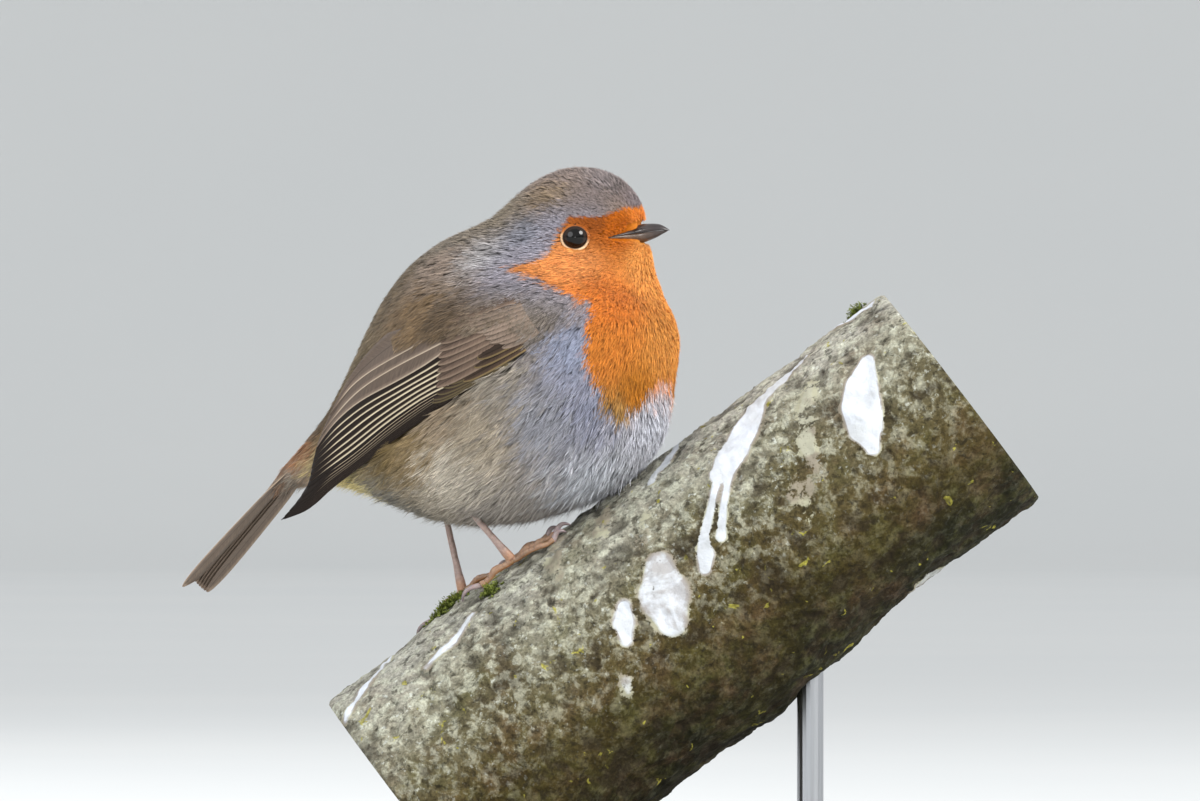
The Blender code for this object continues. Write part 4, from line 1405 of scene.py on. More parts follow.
def covert_vanes(sign, rng):
    place = lambda line, share, lift: WING.place(line, share, lift, sign)
    vanes, colours = [], []
    for number, root, tips, edges, width, lifts, web, fringe in COVERT_ROWS.values():
        for i in range(number):
            share = i / (number - 1)
            edge = between(edges, share)
            last = between(tips, share) + rng.uniform(-COVERT_TIPS_STRAY, COVERT_TIPS_STRAY)
            outer = rail((edge + COVERT_NARROWS, edge - COVERT_NARROWS), root, last)
            inner = lambda line, outer=outer, width=width: outer(line) - width
            vanes.append(vane(
                place, inner, outer, root, last, between(lifts, share),
                point=5.0, camber=0.13, ripple=rng, tilt=0.1, flip=sign > 0,
            ))
            colours.append((web * rng.uniform(0.85, 1.12), fringe * rng.uniform(0.92, 1.08)))
    return vanes, colours


# ---------------------------------------------------------------- tail

TAIL_ROOT = np.array((-47.3, 0.0, -20.0))
TAIL_SLOPE = 46.5  # degrees below level
TAIL_LENGTH = 27.4
TAIL_START = -9.0  # inside the rump
TAIL_BARE = -2.0  # the last feathers of the body are rooted here
TAIL_ROLL = 10.0  # degrees: its right edge is the higher one
TAIL_ROLLS = (-8, 4)  # along the tail, where it rolls to that
TAIL_NOTCH = 1.0  # the middle feathers are shorter by this
TAIL_FEATHERS = 6  # on each side
TAIL_TOP = 0.75  # how far the middle feathers lie above the tail's own plane
TAIL_LAYER = 0.24  # each further out lies this much under the one before it
TAIL_LAYER_RIGHT = 0.1  # and the right ones this much under the left ones
TAIL_MIDDLE = 0.35  # how far the first feathers' shafts are from the middle
TAIL_HALF = (1.8, 0.6)  # half-width at the root, and how much more it is at the tip
TAIL_CLOSED = 0.55  # at the root, the feathers' shafts are this share as far apart
WEB_TAIL = rgb(142, 121, 102)
FRINGE_TAIL = rgb(188, 166, 140)
TAIL_SPREAD = 0.84  # between neighbouring feathers at their tips


def tail_place(along, across, lift):
    """World points at distances down the tail, across it to the robin's left, and over it."""
    slope = math.radians(TAIL_SLOPE)
    back = np.array((-math.cos(slope), 0, -math.sin(slope)))
    above = np.array((-math.sin(slope), 0, math.cos(slope)))
    along, across, lift = (np.asarray(v, float)[..., None] for v in (along, across, lift))
    roll = math.radians(TAIL_ROLL) * smoothstep(*TAIL_ROLLS, along)
    aside, lift = turned(across, lift, -roll)
    return BODY.world(TAIL_ROOT + back * along + above * lift + np.array((0, 1.0, 0)) * aside)


def down_tail(line):
    """How far down the tail a line is, from 0 at its root to 1."""
    return np.clip(line / TAIL_LENGTH, 0, 1)


def tail_vanes(rng):
    vanes, colours = [], []
    root_half, tip_more = TAIL_HALF
    half = lambda line: root_half + tip_more * down_tail(line) ** 0.7
    for k in range(TAIL_FEATHERS):
        last = TAIL_LENGTH - TAIL_NOTCH * (1 - k / (TAIL_FEATHERS - 1)) ** 1.5
        centre = lambda line, k=k: TAIL_MIDDLE + k * TAIL_SPREAD * (
            TAIL_CLOSED + (1 - TAIL_CLOSED) * down_tail(line)
        )
        for _, sign in SIDES:
            inner = lambda line, c=centre, s=sign: s * (c(line) - half(line))
            outer = lambda line, c=centre, s=sign: s * (c(line) + half(line))
            lift = TAIL_TOP - TAIL_LAYER * k - (TAIL_LAYER_RIGHT if sign < 0 else 0.0)
            vanes.append(vane(
                tail_place, inner, outer, TAIL_START, last, lift,
                point=7.0, camber=0.18, tilt=-0.05, flip=sign < 0,
            ))
            colours.append((WEB_TAIL * rng.uniform(0.92, 1.06), FRINGE_TAIL * rng.uniform(0.95, 1.05)))
    return vanes, colours


# ---------------------------------------------------------------- eyes

EYE_RADIUS = 3.1
EYE_BULGE = (0.025, 0.6)  # how much further out its front is, in shares, and over how many radians
EYE_ROWS = 40
EYE_SIDES = 56
EYE_POLE = 0.004  # radians off its axis at which the first and the last ring lie
EYE_AXIS = (12.0, -2.0)  # degrees that each eye looks forward of sideways, and up
LID_OPENING = (46.0, 40.5)  # degrees from the eye's axis: lengthwise and upright
LID_OUTSIDE = 49.0
BEFORE_LIDS = 10.0  # before the eye, where feathers lie towards it, they keep off by up to this more
# The lids, outward from their opening: degrees from it, and distance from the eye's middle.
LID_SECTION = (
    (0.0, 3.08), (0.8, 3.16), (2.5, 3.24), (5.0, 3.22), (8.0, 3.02), (13.0, 2.62), (24.0, 2.1),
)
LID_SIDES = 72
LID_DARK = rgb(46, 36, 32)
LID_BUFF = rgb(214, 180, 140)
LID_BUFF_FROM = (1.5, 3.0)  # degrees outside the opening
# Further out the lids take the plumage's colour: between these degrees above the eye, and between
# so many more below it.
LID_PLUMAGE_FROM = ((0.5, 3.0), (5.5, 7.0))


def eye_axes(sign):
    """The eye's own axis, and its forward and upward directions, in the world."""
    ahead, up = (math.radians(a) for a in EYE_AXIS)
    level = math.cos(up)
    axis = np.array((math.sin(ahead) * level, sign * math.cos(ahead) * level, math.sin(up)))
    above = unit(np.array((0, 0, 1.0)) - axis * axis[2])
    forward = unit(np.cross(above, axis) * sign)
    return HEAD.direction(axis), HEAD.direction(forward), HEAD.direction(above)


def eye_axis(sign):
    return eye_axes(sign)[0]


def on_eye(sign, centre, off, around, radius):
    """World points at angles off the eye's axis and around it, at a radius."""
    axis, ahead, above = eye_axes(sign)
    off, around, radius = (a[..., None] for a in np.broadcast_arrays(off, around, radius))
    outward = np.cos(around) * ahead + np.sin(around) * above
    return centre + (np.cos(off) * axis + np.sin(off) * outward) * radius


NEAR_BLACK = (0.004, 0.003, 0.003)


def eye_finish():
    """A dark glossy eye: a black pupil in a very dark brown iris."""
    finish = Finish("eye", Roughness=0.05, Specular_IOR_Level=0.34)
    angle = finish.value("off_axis")
    fibres = finish.noise(3000, 3, 0.6)
    iris = finish.blend(rgb(24, 16, 11), rgb(42, 28, 18), fibres)
    colour = finish.tint((0.0015, 0.0012, 0.001), iris, angle, (0.52, 0), (0.56, 1))
    return finish.set(Base_Color=finish.tint(colour, NEAR_BLACK, angle, (0.7, 0), (0.76, 1)))


def lid_finish():
    finish = Finish("eyelid", Roughness=0.6, Specular_IOR_Level=0.3)
    colour = finish.attribute("plumage")
    return finish.grained(colour, 4000, 3, (0.3, 0.8), (0.7, 1.1), bump=(0.5, 0.04))


def lid_opening(around):
    """How far off the eye's axis the lids begin, at angles around it."""
    a, b = LID_OPENING
    return np.radians(a * b / np.sqrt((b * np.cos(around)) ** 2 + (a * np.sin(around)) ** 2))


def add_eyes(finishes, rng):
    for side, sign in SIDES:
        centre = middle_of(f"eye_{side}")
        add_eyeball(side, sign, centre, finishes)
        add_lids(side, sign, centre, finishes, rng)
        add_eye_ring(side, sign, centre, finishes, rng)


def add_eyeball(side, sign, centre, finishes):
    off = np.linspace(EYE_POLE, math.pi - EYE_POLE, EYE_ROWS)[:, None]
    around = whole_turn(EYE_SIDES)[None]
    bulge, reach = EYE_BULGE
    radius = EYE_RADIUS * (1 + bulge * np.exp(-((off / reach) ** 2))) + 0 * around
    points = on_eye(sign, centre, off, around, radius).reshape(-1, 3)
    # The specks of caps at its poles are wound against its sides.
    *quads, first, last = closed_faces(EYE_ROWS, EYE_SIDES)
    faces = flipped(quads) + [first, last] if sign < 0 else quads + flipped([first, last])
    mesh_piece(
        f"eyeball_{side}", points, faces, finishes["eye"], "eye_dark", (f"eye_{side}",),
        attributes={"off_axis": np.repeat(off, EYE_SIDES)},
    )


def add_lids(side, sign, centre, finishes, rng):
    around = whole_turn(LID_SIDES)
    section = np.array(LID_SECTION)
    degrees = section[:, :1]
    off = lid_opening(around)[None] + np.radians(degrees)
    points = on_eye(sign, centre, off, around[None], section[:, 1:] + 0 * off)
    pale = smoothstep(*LID_BUFF_FROM, degrees[:, 0])[:, None] * np.ones((1, LID_SIDES))
    colour = mix(LID_DARK, LID_BUFF, pale)
    outer = plumage_colour(points.reshape(-1, 3), 0.0, rng)[0].reshape(colour.shape)
    below = smoothstep(-0.2, 0.5, 0.25 * np.cos(around) - np.sin(around))[None]
    start, end = (above + more * below for above, more in zip(*LID_PLUMAGE_FROM))
    colour = mix(colour, outer * 0.8, smoothstep(start, end, degrees))
    mesh_piece(
        f"eyelid_{side}", points.reshape(-1, 3), grid_faces(len(section), LID_SIDES),
        finishes["lid"], "plumage_pale", attributes={"plumage": colour.reshape(-1, 3)},
    )


RING_BARBS = 520
RING_SPAN = (1.6, 5.5)  # degrees outside the lids' opening between which the ring's barbs start
RING_LENGTHS = (4.5, 8)  # degrees
RING_SWEEP = 0.22  # radians that barbs over and under the eye lean back
RING_SWEEP_STRAY = 0.08
RING_OUT = 3.3  # the distance from the eye's middle at which the first barbs are rooted
RING_OUT_FALLS = 0.12  # the last ones are rooted this much nearer
RING_OUT_RISES = 0.16  # and tips lie this much further out than roots
RING_OUT_STRAY = 0.06
RING_BARB_HALF = 0.032  # half of a barb's width
RING_BUFF = rgb(232, 200, 160)
RING_GAPS = (0.6, 0.8, 1.2)  # how much of the plumage's colour its outer, hind and upper barbs take


def add_eye_ring(side, sign, centre, finishes, rng):
    """The broken pale ring of tiny feathers on the lids."""
    around = rng.uniform(0, 2 * math.pi, RING_BARBS)
    start = rng.uniform(*RING_SPAN, RING_BARBS)
    first = lid_opening(around) + np.radians(start)
    stations = BARB_STATIONS[None]
    length = np.radians(rng.uniform(*RING_LENGTHS, RING_BARBS))[:, None]
    back = RING_SWEEP * np.sin(around)[:, None] * np.sign(np.cos(around)[:, None])
    sweep = rng.normal(0, RING_SWEEP_STRAY, RING_BARBS)[:, None] - back
    off = first[:, None] + length * stations
    at = around[:, None] + sweep * stations
    radius = RING_OUT + RING_OUT_RISES * stations - RING_OUT_FALLS * (start[:, None] / RING_SPAN[1])
    radius = radius + rng.uniform(0, RING_OUT_STRAY, (RING_BARBS, 1))
    middle = on_eye(sign, centre, off, at, radius)
    along = unit(middle[:, -1] - middle[:, 0])
    edge = unit(np.cross(along, eye_axis(sign)))[:, None] * RING_BARB_HALF
    edge = edge * rng.uniform(0.8, 1.2, (RING_BARBS, 1, 1))
    points, faces, marks = blades(middle, edge)
    behind = smoothstep(0.85, 1.0, np.cos(around - math.pi))
    over = smoothstep(0.1, 0.7, np.sin(around))
    outside = smoothstep(4, 5.5, start)
    gaps = sum(much * where for much, where in zip(RING_GAPS, (outside, behind, over)))
    outer = plumage_colour(middle[:, -1], 0.2, rng)[0]
    colour = vary(mix(RING_BUFF, outer, np.clip(gaps, 0, 1)), 1, rng, 0.05, 0.08)
    across = np.tile((0, 1), 4)[:POINTS_OF_BARB]
    patch = np.tile(np.stack([BARB_MARKS, across], 1) * PATCH, (RING_BARBS, 1))
    mesh_piece(
        f"eye_ring_{side}", points, faces, finishes["coat"], "plumage_pale",
        uv=np.repeat(unwrap(middle[:, 0]), POINTS_OF_BARB, axis=0) + patch,
        attributes={"plumage": np.repeat(colour, POINTS_OF_BARB, axis=0), "along": marks},
    )


# ---------------------------------------------------------------- skin and coat

SKIN_GAP = 0.95  # the skin lies this share of the coat's depth under it
UNDER_WING = 2.0  # and this much deeper under the wings' long feathers
UNDER_WING_LINES = (0.6, 2.4)  # lines of the wing between which it sinks to that
UNDER_WING_OFF = (1.6, 0.4)  # and how far off the wing, seen from the side
SKIN_BY_BILL = 0.7  # and drawn in by this beside the bill
SKIN_BEHIND_BILL = 1.6  # and back by this under the bill's root
BILL_SOFT = (0.5, 0.1)  # how far outside the bill's bare part that comes in
SKIN_BY_BILL_FROM = (-6.2, -5.4)  # along the bill, where it is drawn in
SKIN_BACK_FROM = (-1.5, 0.5)  # and where it is drawn back
SOCKET_RADIUS = 2.5  # the skin is drawn in behind the lids
SOCKET_REACH = (66.0, 92.0)  # degrees


def add_skin(finishes):
    points, normals, faces = joined_surface(FLESH)
    side = sideways(points)
    line, _, away = WING.find(side)
    on_wing = smoothstep(*UNDER_WING_OFF, away) * (side[:, 1] > WING_STANDS_OUT)
    sink = coat_measures(points)[2] * SKIN_GAP
    sink = sink + UNDER_WING * on_wing * smoothstep(*UNDER_WING_LINES, line)
    points = points - normals * sink[:, None]
    points = towards_eye(points, SOCKET_RADIUS, SOCKET_REACH)
    bill = in_bill(points)
    upper, lower = bill_edges(bill[:, 0])
    inside = smoothstep(*BILL_SOFT, bill[:, 2] - upper) * smoothstep(*BILL_SOFT, -bill[:, 2] - lower)
    inside = inside * smoothstep(*SKIN_BY_BILL_FROM, bill[:, 0])
    across = np.minimum(SKIN_BY_BILL * inside, np.abs(bill[:, 1]) * 0.6) * np.sign(bill[:, 1])
    points = points - HEAD.direction(across[:, None] * np.array((0, 1.0, 0)))
    back = inside[:, None] * smoothstep(*SKIN_BACK_FROM, bill[:, :1])
    back = back * np.array((SKIN_BEHIND_BILL, 0, 0))
    points = points - HEAD.direction(back)
    colour = plumage_colour(points, 0.0, np.random.default_rng(1))[0]
    mesh_piece(
        "skin", points, faces, finishes["skin"], "plumage_pale", ("head", "neck", "trunk", "rump"),
        uv=unwrap(points), seam=True, attributes={"plumage": colour},
    )


DUSK = (0.68, 0.12)  # how much darker feathers are at their roots: plain ones and orange ones
COLOUR_FROM = 0.6  # of the way to its tip lies the place that a feather takes its colour from


def add_coat(finishes):
    rng = np.random.default_rng(20)
    points, _, faces = joined_surface(FLESH + ("tail",))
    surface = Surface(points, faces)
    fewer = 1.0
    roots = spread_points(points, faces, lambda at: coat_measures(at)[3] * fewer, rng)
    roots = roots[~coat_is_bare(roots)]
    nearest = np.concatenate([away.argmin(1) for away in distances(sideways(roots), COAT_PLACES)])
    own = np.array(list(COAT))[nearest]
    for name, row in COAT_PIECES.items():
        names, barbs, width, lift, curl, stray, ragged, spread, slot = row
        chosen = roots[np.isin(own, names)]
        parts = max(1, math.ceil(len(chosen) * barbs * len(BARB_FACES) / MOST_TRIANGLES))
        for i, some in enumerate(np.array_split(rng.permutation(chosen), parts)):
            measures = coat_measures(some)[:3]
            verts, tris, uv, along = tufts(
                surface, some, rng, barbs, width, lift, curl, stray, measures
            )
            lie = lie_of_coat(some, surface.outward(some))
            tips = surface.settle(some + lie * measures[0][:, None] * COLOUR_FROM)
            colour, inside = plumage_colour(tips, ragged, rng)
            colour = vary(colour, barbs, rng, spread, spread)
            dusk = between(DUSK, at_bib(inside))
            attributes = {
                "plumage": np.repeat(colour, POINTS_OF_BARB, axis=0), "along": along,
                "dusk": np.repeat(dusk, barbs * POINTS_OF_BARB),
            }
            mesh_piece(
                name if parts == 1 else f"{name}_{i + 1}", verts, tris, finishes["coat"], slot,
                uv=uv, attributes=attributes,
            )


# ---------------------------------------------------------------- wings and tail


def add_wings(finishes):
    for side, sign in SIDES:
        rng = np.random.default_rng(31)
        vanes_piece(
            f"wing_feathers_{side}", *flight_vanes(sign, rng), finishes["flight"],
            "flight_feathers", (f"wing_{side}_flight",),
        )
        vanes_piece(
            f"wing_covert_feathers_{side}", *covert_vanes(sign, rng), finishes["coverts"],
            "plumage_brown", (f"wing_{side}_coverts",),
        )


def add_tail(finishes):
    vanes_piece(
        "tail_feathers", *tail_vanes(np.random.default_rng(41)), finishes["tail"],
        "flight_feathers", ("tail",),
    )


# ---------------------------------------------------------------- bill

# Along the bill from its root: half-width, and its heights above and below the mouth's line.
BILL_STATIONS = (
    (-6.4, 7.6, 0.1, 0.6),
    (-4.8, 6.5, 0.5, 1.15),
    (-3.4, 5.3, 1.05, 1.55),
    (-2.0, 3.75, 1.6, 1.75),
    (-0.5, 2.2, 1.74, 1.68),
    (1.0, 1.45, 1.58, 1.4),
    (2.2, 1.1, 1.34, 1.08),
    (3.3, 0.7, 0.9, 0.66),
    (4.0, 0.36, 0.48, 0.34),
    (4.4, 0.1, 0.1, 0.1),
)
BILL_FINENESS = 6  # rows between stations
BILL_SIDES = 24
LOWER_SHORTER = 0.3
LOWER_NARROWER = 0.95
BILL_HOOK = 0.34  # how far the tip droops
BILL_HOOK_SPAN = (2.4, 4.35)
BILL_SHADED = (-6.0, 4.35)  # along it, from where to where its colour runs from base to tip
BILL_CREST = (0.06, 0.22)  # a ridge along its middle: its height and half-width, in shares
BILL_ROUND = 0.85  # the power of its section: 1 is an ellipse, and less is fuller
BILL_TALL = (0.92, 0.95)  # of its heights: the upper and the lower half
BILL_FLOOR = (0.98, 0.1)  # the inner face: its width, and its bulge in shares of the height
BILL_LEAST = (0.1, 0.06)  # half-width and height, at its tip
MOUTH_GAP = 0.045
GAPE_FLARE = 1.1  # how much more the bill's sides flare towards its corners
GAPE_FLARE_SPAN = (0.5, -4.0)  # along it, where that comes in
NOSTRIL = (-1.7, 0.8, 0.8, 0.26)  # along, height, reach along, reach up
NOSTRIL_DENT = 0.16  # in shares of the half-width
BRISTLES = 7  # on each side
BRISTLE_STEPS = 6
# The first and the last bristle's root: along, aside, above.
BRISTLE_ROOTS = (np.array((-3.6, 3.6, 0.55)), np.array((-1.0, 2.0, 1.0)))
BRISTLE_LENGTHS = (2.6, 3.8)
BRISTLE_ASIDE = (0.1, 0.45)  # how far they lean outward, for each millimetre forward
BRISTLE_UP = (-0.5, 0.1)  # and upward
BRISTLE_DROOP = 0.7
BRISTLE_RADII = (0.05, 0.015)  # at the root and at the tip


def bill_place(points):
    """World points of (along, aside, above) in the bill's own frame."""
    x, z = turned(points[..., 0], points[..., 2], math.radians(BILL_PITCH))
    return HEAD.world(np.stack([x, points[..., 1], z], -1) + BILL_ROOT + EYES_MIDDLE)


def bill_half(upper):
    """Points of one half of the bill in its own frame, and how far each is in a nostril or inside."""
    rows = curve_through(BILL_STATIONS, BILL_FINENESS)
    along, wide = rows[:, :1], np.maximum(rows[:, 1:2], BILL_LEAST[0])
    tall = np.maximum(rows[:, 2:3] if upper else rows[:, 3:4], BILL_LEAST[1])
    half = BILL_SIDES // 2
    angle = np.linspace(0, math.pi, half)[None]
    across = np.cos(angle)
    shape = np.sin(angle) ** BILL_ROUND
    crest = np.exp(-((across / BILL_CREST[1]) ** 2)) * BILL_CREST[0]
    flare = GAPE_FLARE * smoothstep(*GAPE_FLARE_SPAN, along)
    aside = wide * np.sign(across) * np.abs(across) ** (BILL_ROUND + flare)
    above = tall * (shape * BILL_TALL[0 if upper else 1] + crest) + MOUTH_GAP
    nostril = np.zeros_like(above)
    if upper:
        at, height, reach, reach_up = NOSTRIL
        off = ((along - at) / reach) ** 2 + ((above - height) / reach_up) ** 2
        nostril = np.exp(-(off**2)) * (np.abs(across) > 0.3)
        aside = aside * (1 - NOSTRIL_DENT * nostril)
    flat_across = np.linspace(-1, 1, half + 2)[None, 1:-1]
    width, bulge = BILL_FLOOR
    floor = MOUTH_GAP + bulge * tall * (1 - flat_across**2)
    aside = np.hstack([aside, wide * flat_across * width])
    above = np.hstack([above, floor + 0 * along])
    mark = np.hstack([nostril, 0 * floor + 0 * along])
    mouth = np.hstack([0 * nostril, 0 * floor + 0 * along + 1])
    if not upper:
        above = -above
        along = along * np.where(along > 0, 1 - LOWER_SHORTER / BILL_STATIONS[-1][0], 1)
        aside = aside * LOWER_NARROWER
    droop = -BILL_HOOK * smoothstep(*BILL_HOOK_SPAN, along) ** 1.5
    points = np.stack([along + 0 * aside, aside, above + (droop if upper else droop * 0.5)], -1)
    return points, mark, mouth


def bill_finish(name, tip, base):
    finish = Finish(name, Roughness=0.32, Specular_IOR_Level=0.5)
    grain = finish.noise(700, 4, 0.6)
    colour = finish.tint(base, tip, finish.value("along"), (0.35, 0), (0.75, 1))
    colour = finish.shade(colour, grain, (0.3, 0.7), (0.7, 1.15))
    # Near black in the nostrils and on the inner faces at the mouth's line: painted shade in the nostrils'
    # dents and the gap between the mandibles.
    colour = finish.blend(colour, NEAR_BLACK, finish.value("dark"))
    return finish.set(Base_Color=colour, Normal=finish.bump(grain, 0.3, 0.05))


def add_bill(finishes):
    start, end = BILL_SHADED
    for part, upper in (("upper", True), ("lower", False)):
        points, mark, mouth = bill_half(upper)
        faces = closed_faces(*points.shape[:2])
        along = np.clip((points[..., 0] - start) / (end - start), 0, 1)
        # How far each point takes the painted shade of the nostrils and of the gap between the mandibles.
        dark = np.clip(mark * 1.1 + mouth * 0.9, 0, 1)
        mesh_piece(
            f"bill_horn_{part}", bill_place(points).reshape(-1, 3),
            faces if upper else flipped(faces), finishes[f"bill_{part}"], "bill_horn",
            (f"bill_{part}",), attributes={"along": along.ravel(), "dark": dark.ravel()},
        )
    add_bristles(finishes)


def add_bristles(finishes):
    rng = np.random.default_rng(51)
    parts = []
    steps = np.linspace(0, 1, BRISTLE_STEPS)[:, None]
    for _, sign in SIDES:
        for i in range(BRISTLES):
            start = between(BRISTLE_ROOTS, i / (BRISTLES - 1)) * (1, sign, 1)
            way = np.array((1.0, sign * rng.uniform(*BRISTLE_ASIDE), rng.uniform(*BRISTLE_UP)))
            way = way / np.linalg.norm(way) * rng.uniform(*BRISTLE_LENGTHS)
            path = start + way * steps - np.array((0, 0, BRISTLE_DROOP)) * steps**2
            parts.append(tube(bill_place(path), np.linspace(*BRISTLE_RADII, BRISTLE_STEPS), 5))
    mesh_piece("bristles", *join_parts(parts), finishes["bristle"], "bill_horn")


# ---------------------------------------------------------------- branch

BRANCH_MIDDLE = np.array((-5.07, 0.0, 63.87))  # the branch's middle line goes through here
BRANCH_SLOPE = 37.5  # degrees above level
BRANCH_SPAN = (-45.0, 85.0)  # along it, where it is sawn off
BRANCH_RADIUS = 26.0
BRANCH_ROWS = 330
BRANCH_SIDES = 300
BARK_DEPTH = 0.55  # millimetres for 1 of relief
RELIEF = (0.4, 0.5, 0.35)  # how strong ridges, pits and plates are
ROUND_BARK = 5.2  # radius of the ring in the noise that goes round the branch
# How long features are, in millimetres, and how much finer the noise is round the branch.
RIDGES = (9.0, 1.0)
PITS = (2.4, 2.0)
PLATES = (5.0, 0.9)
RIDGES_SHARP = 2.2
RIDGES_LEVEL = 0.3
PITS_GAIN = 0.6
PLATES_SOFT = 0.1
ELSEWHERE = 9.3  # plates are read from another part of the ridges' noise
BARK_LEVEL = 0.35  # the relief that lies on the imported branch
COARSE = (60, 72)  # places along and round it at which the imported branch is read
COARSE_INSET = 0.3  # from its sawn ends
COARSE_PASSES = 3  # of smoothing
WHITE_THICKNESS = 0.18
END_ROUNDED = (0.5, 0.35)  # how much less the radius is at the very ends, and over what length
END_RINGS = 26
END_INSET = (0.02, 0.05)  # how far in the sawn ends lie at their rims, and how much more within
END_SAWN = 0.06  # how rough they are


def branch_axes():
    slope = math.radians(BRANCH_SLOPE)
    up = np.array((math.cos(slope), 0.0, math.sin(slope)))
    out = np.array((-math.sin(slope), 0.0, math.cos(slope)))
    return up, out, np.array((0.0, 1.0, 0.0))


def branch_place(along, turn, radius):
    """World points at a distance along the branch, an angle round it to the robin's left, and a radius."""
    up, out, left = branch_axes()
    along, turn, radius = np.broadcast_arrays(along, turn, radius)
    return (
        BRANCH_MIDDLE + along[..., None] * up + (radius * np.cos(turn))[..., None] * out
        + (radius * np.sin(turn))[..., None] * left
    )


class Lumps:
    """Smooth seeded noise between -1 and 1, read at numpy places."""

    SIZE = 32
    OCTAVES_APART = 5.7

    def __init__(self, seed):
        self.table = np.random.default_rng(seed).uniform(-1, 1, (self.SIZE,) * 3)

    def at(self, places):
        base = np.floor(places).astype(int)
        share = places - base
        return eight_corners(self.table, base, share * share * (3 - 2 * share))

    def rough(self, places, octaves, gain=0.5):
        """The noise with so many octaves, each twice as fine and gain times as strong."""
        total, size = 0, 1.0
        for k in range(octaves):
            total = total + size * self.at(places * 2**k + self.OCTAVES_APART * k)
            size *= gain
        return total


class Branch:
    """The bark's radius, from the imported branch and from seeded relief."""

    def __init__(self):
        tree = cad_tree("perch")
        low, high = BRANCH_SPAN
        along = np.linspace(low + COARSE_INSET, high - COARSE_INSET, COARSE[0])
        turns = whole_turn(COARSE[1])
        radii = np.zeros(COARSE)
        for i, a in enumerate(along):
            for k, t in enumerate(turns):
                start = branch_place(a, t, BRANCH_RADIUS + 20)
                end = branch_place(a, t, 0.0)
                hit = tree.ray_cast(Vector(start), Vector(unit(end - start)))[0]
                radii[i, k] = np.linalg.norm(np.array(hit) - end)
        for _ in range(COARSE_PASSES):
            padded = np.pad(radii, ((1, 1), (0, 0)), mode="edge")
            radii = (padded[:-2] + padded[2:] + 2 * radii) / 4
            radii = (np.roll(radii, 1, 1) + np.roll(radii, -1, 1) + 2 * radii) / 4
        self.along, self.radii = along, radii
        self.lumps, self.fine = Lumps(61), Lumps(62)

    def smooth_radius(self, along, turn):
        i = np.clip((along - self.along[0]) / (self.along[1] - self.along[0]), 0, COARSE[0] - 1.001)
        k = (turn / (2 * math.pi) * COARSE[1]) % COARSE[1]
        a, b = i.astype(int), k.astype(int)
        return read_grid(self.radii, a, b, (b + 1) % COARSE[1], i - a, k - b)

    def relief(self, along, turn):
        """Ridges that run along the branch, pits, and flaking plates."""
        ring = np.stack([np.cos(turn) * ROUND_BARK, np.sin(turn) * ROUND_BARK], -1)

        def places(length, finer):
            return np.concatenate([(along / length)[..., None], ring * finer], -1)

        ridges = 1 - np.abs(self.lumps.rough(places(*RIDGES), 3)) * RIDGES_SHARP
        pits = self.fine.rough(places(*PITS), 4, PITS_GAIN)
        plates = smoothstep(-PLATES_SOFT, PLATES_SOFT, self.lumps.rough(places(*PLATES) + ELSEWHERE, 2))
        high_ridges, deep_pits, thick_plates = RELIEF
        return high_ridges * (ridges - RIDGES_LEVEL) + deep_pits * pits + thick_plates * plates

    def radius(self, along, turn):
        along, turn = np.broadcast_arrays(np.asarray(along, float), np.asarray(turn, float))
        relief = self.relief(along, turn) - BARK_LEVEL
        return self.smooth_radius(along, turn) + BARK_DEPTH * relief


BRANCH = Branch()

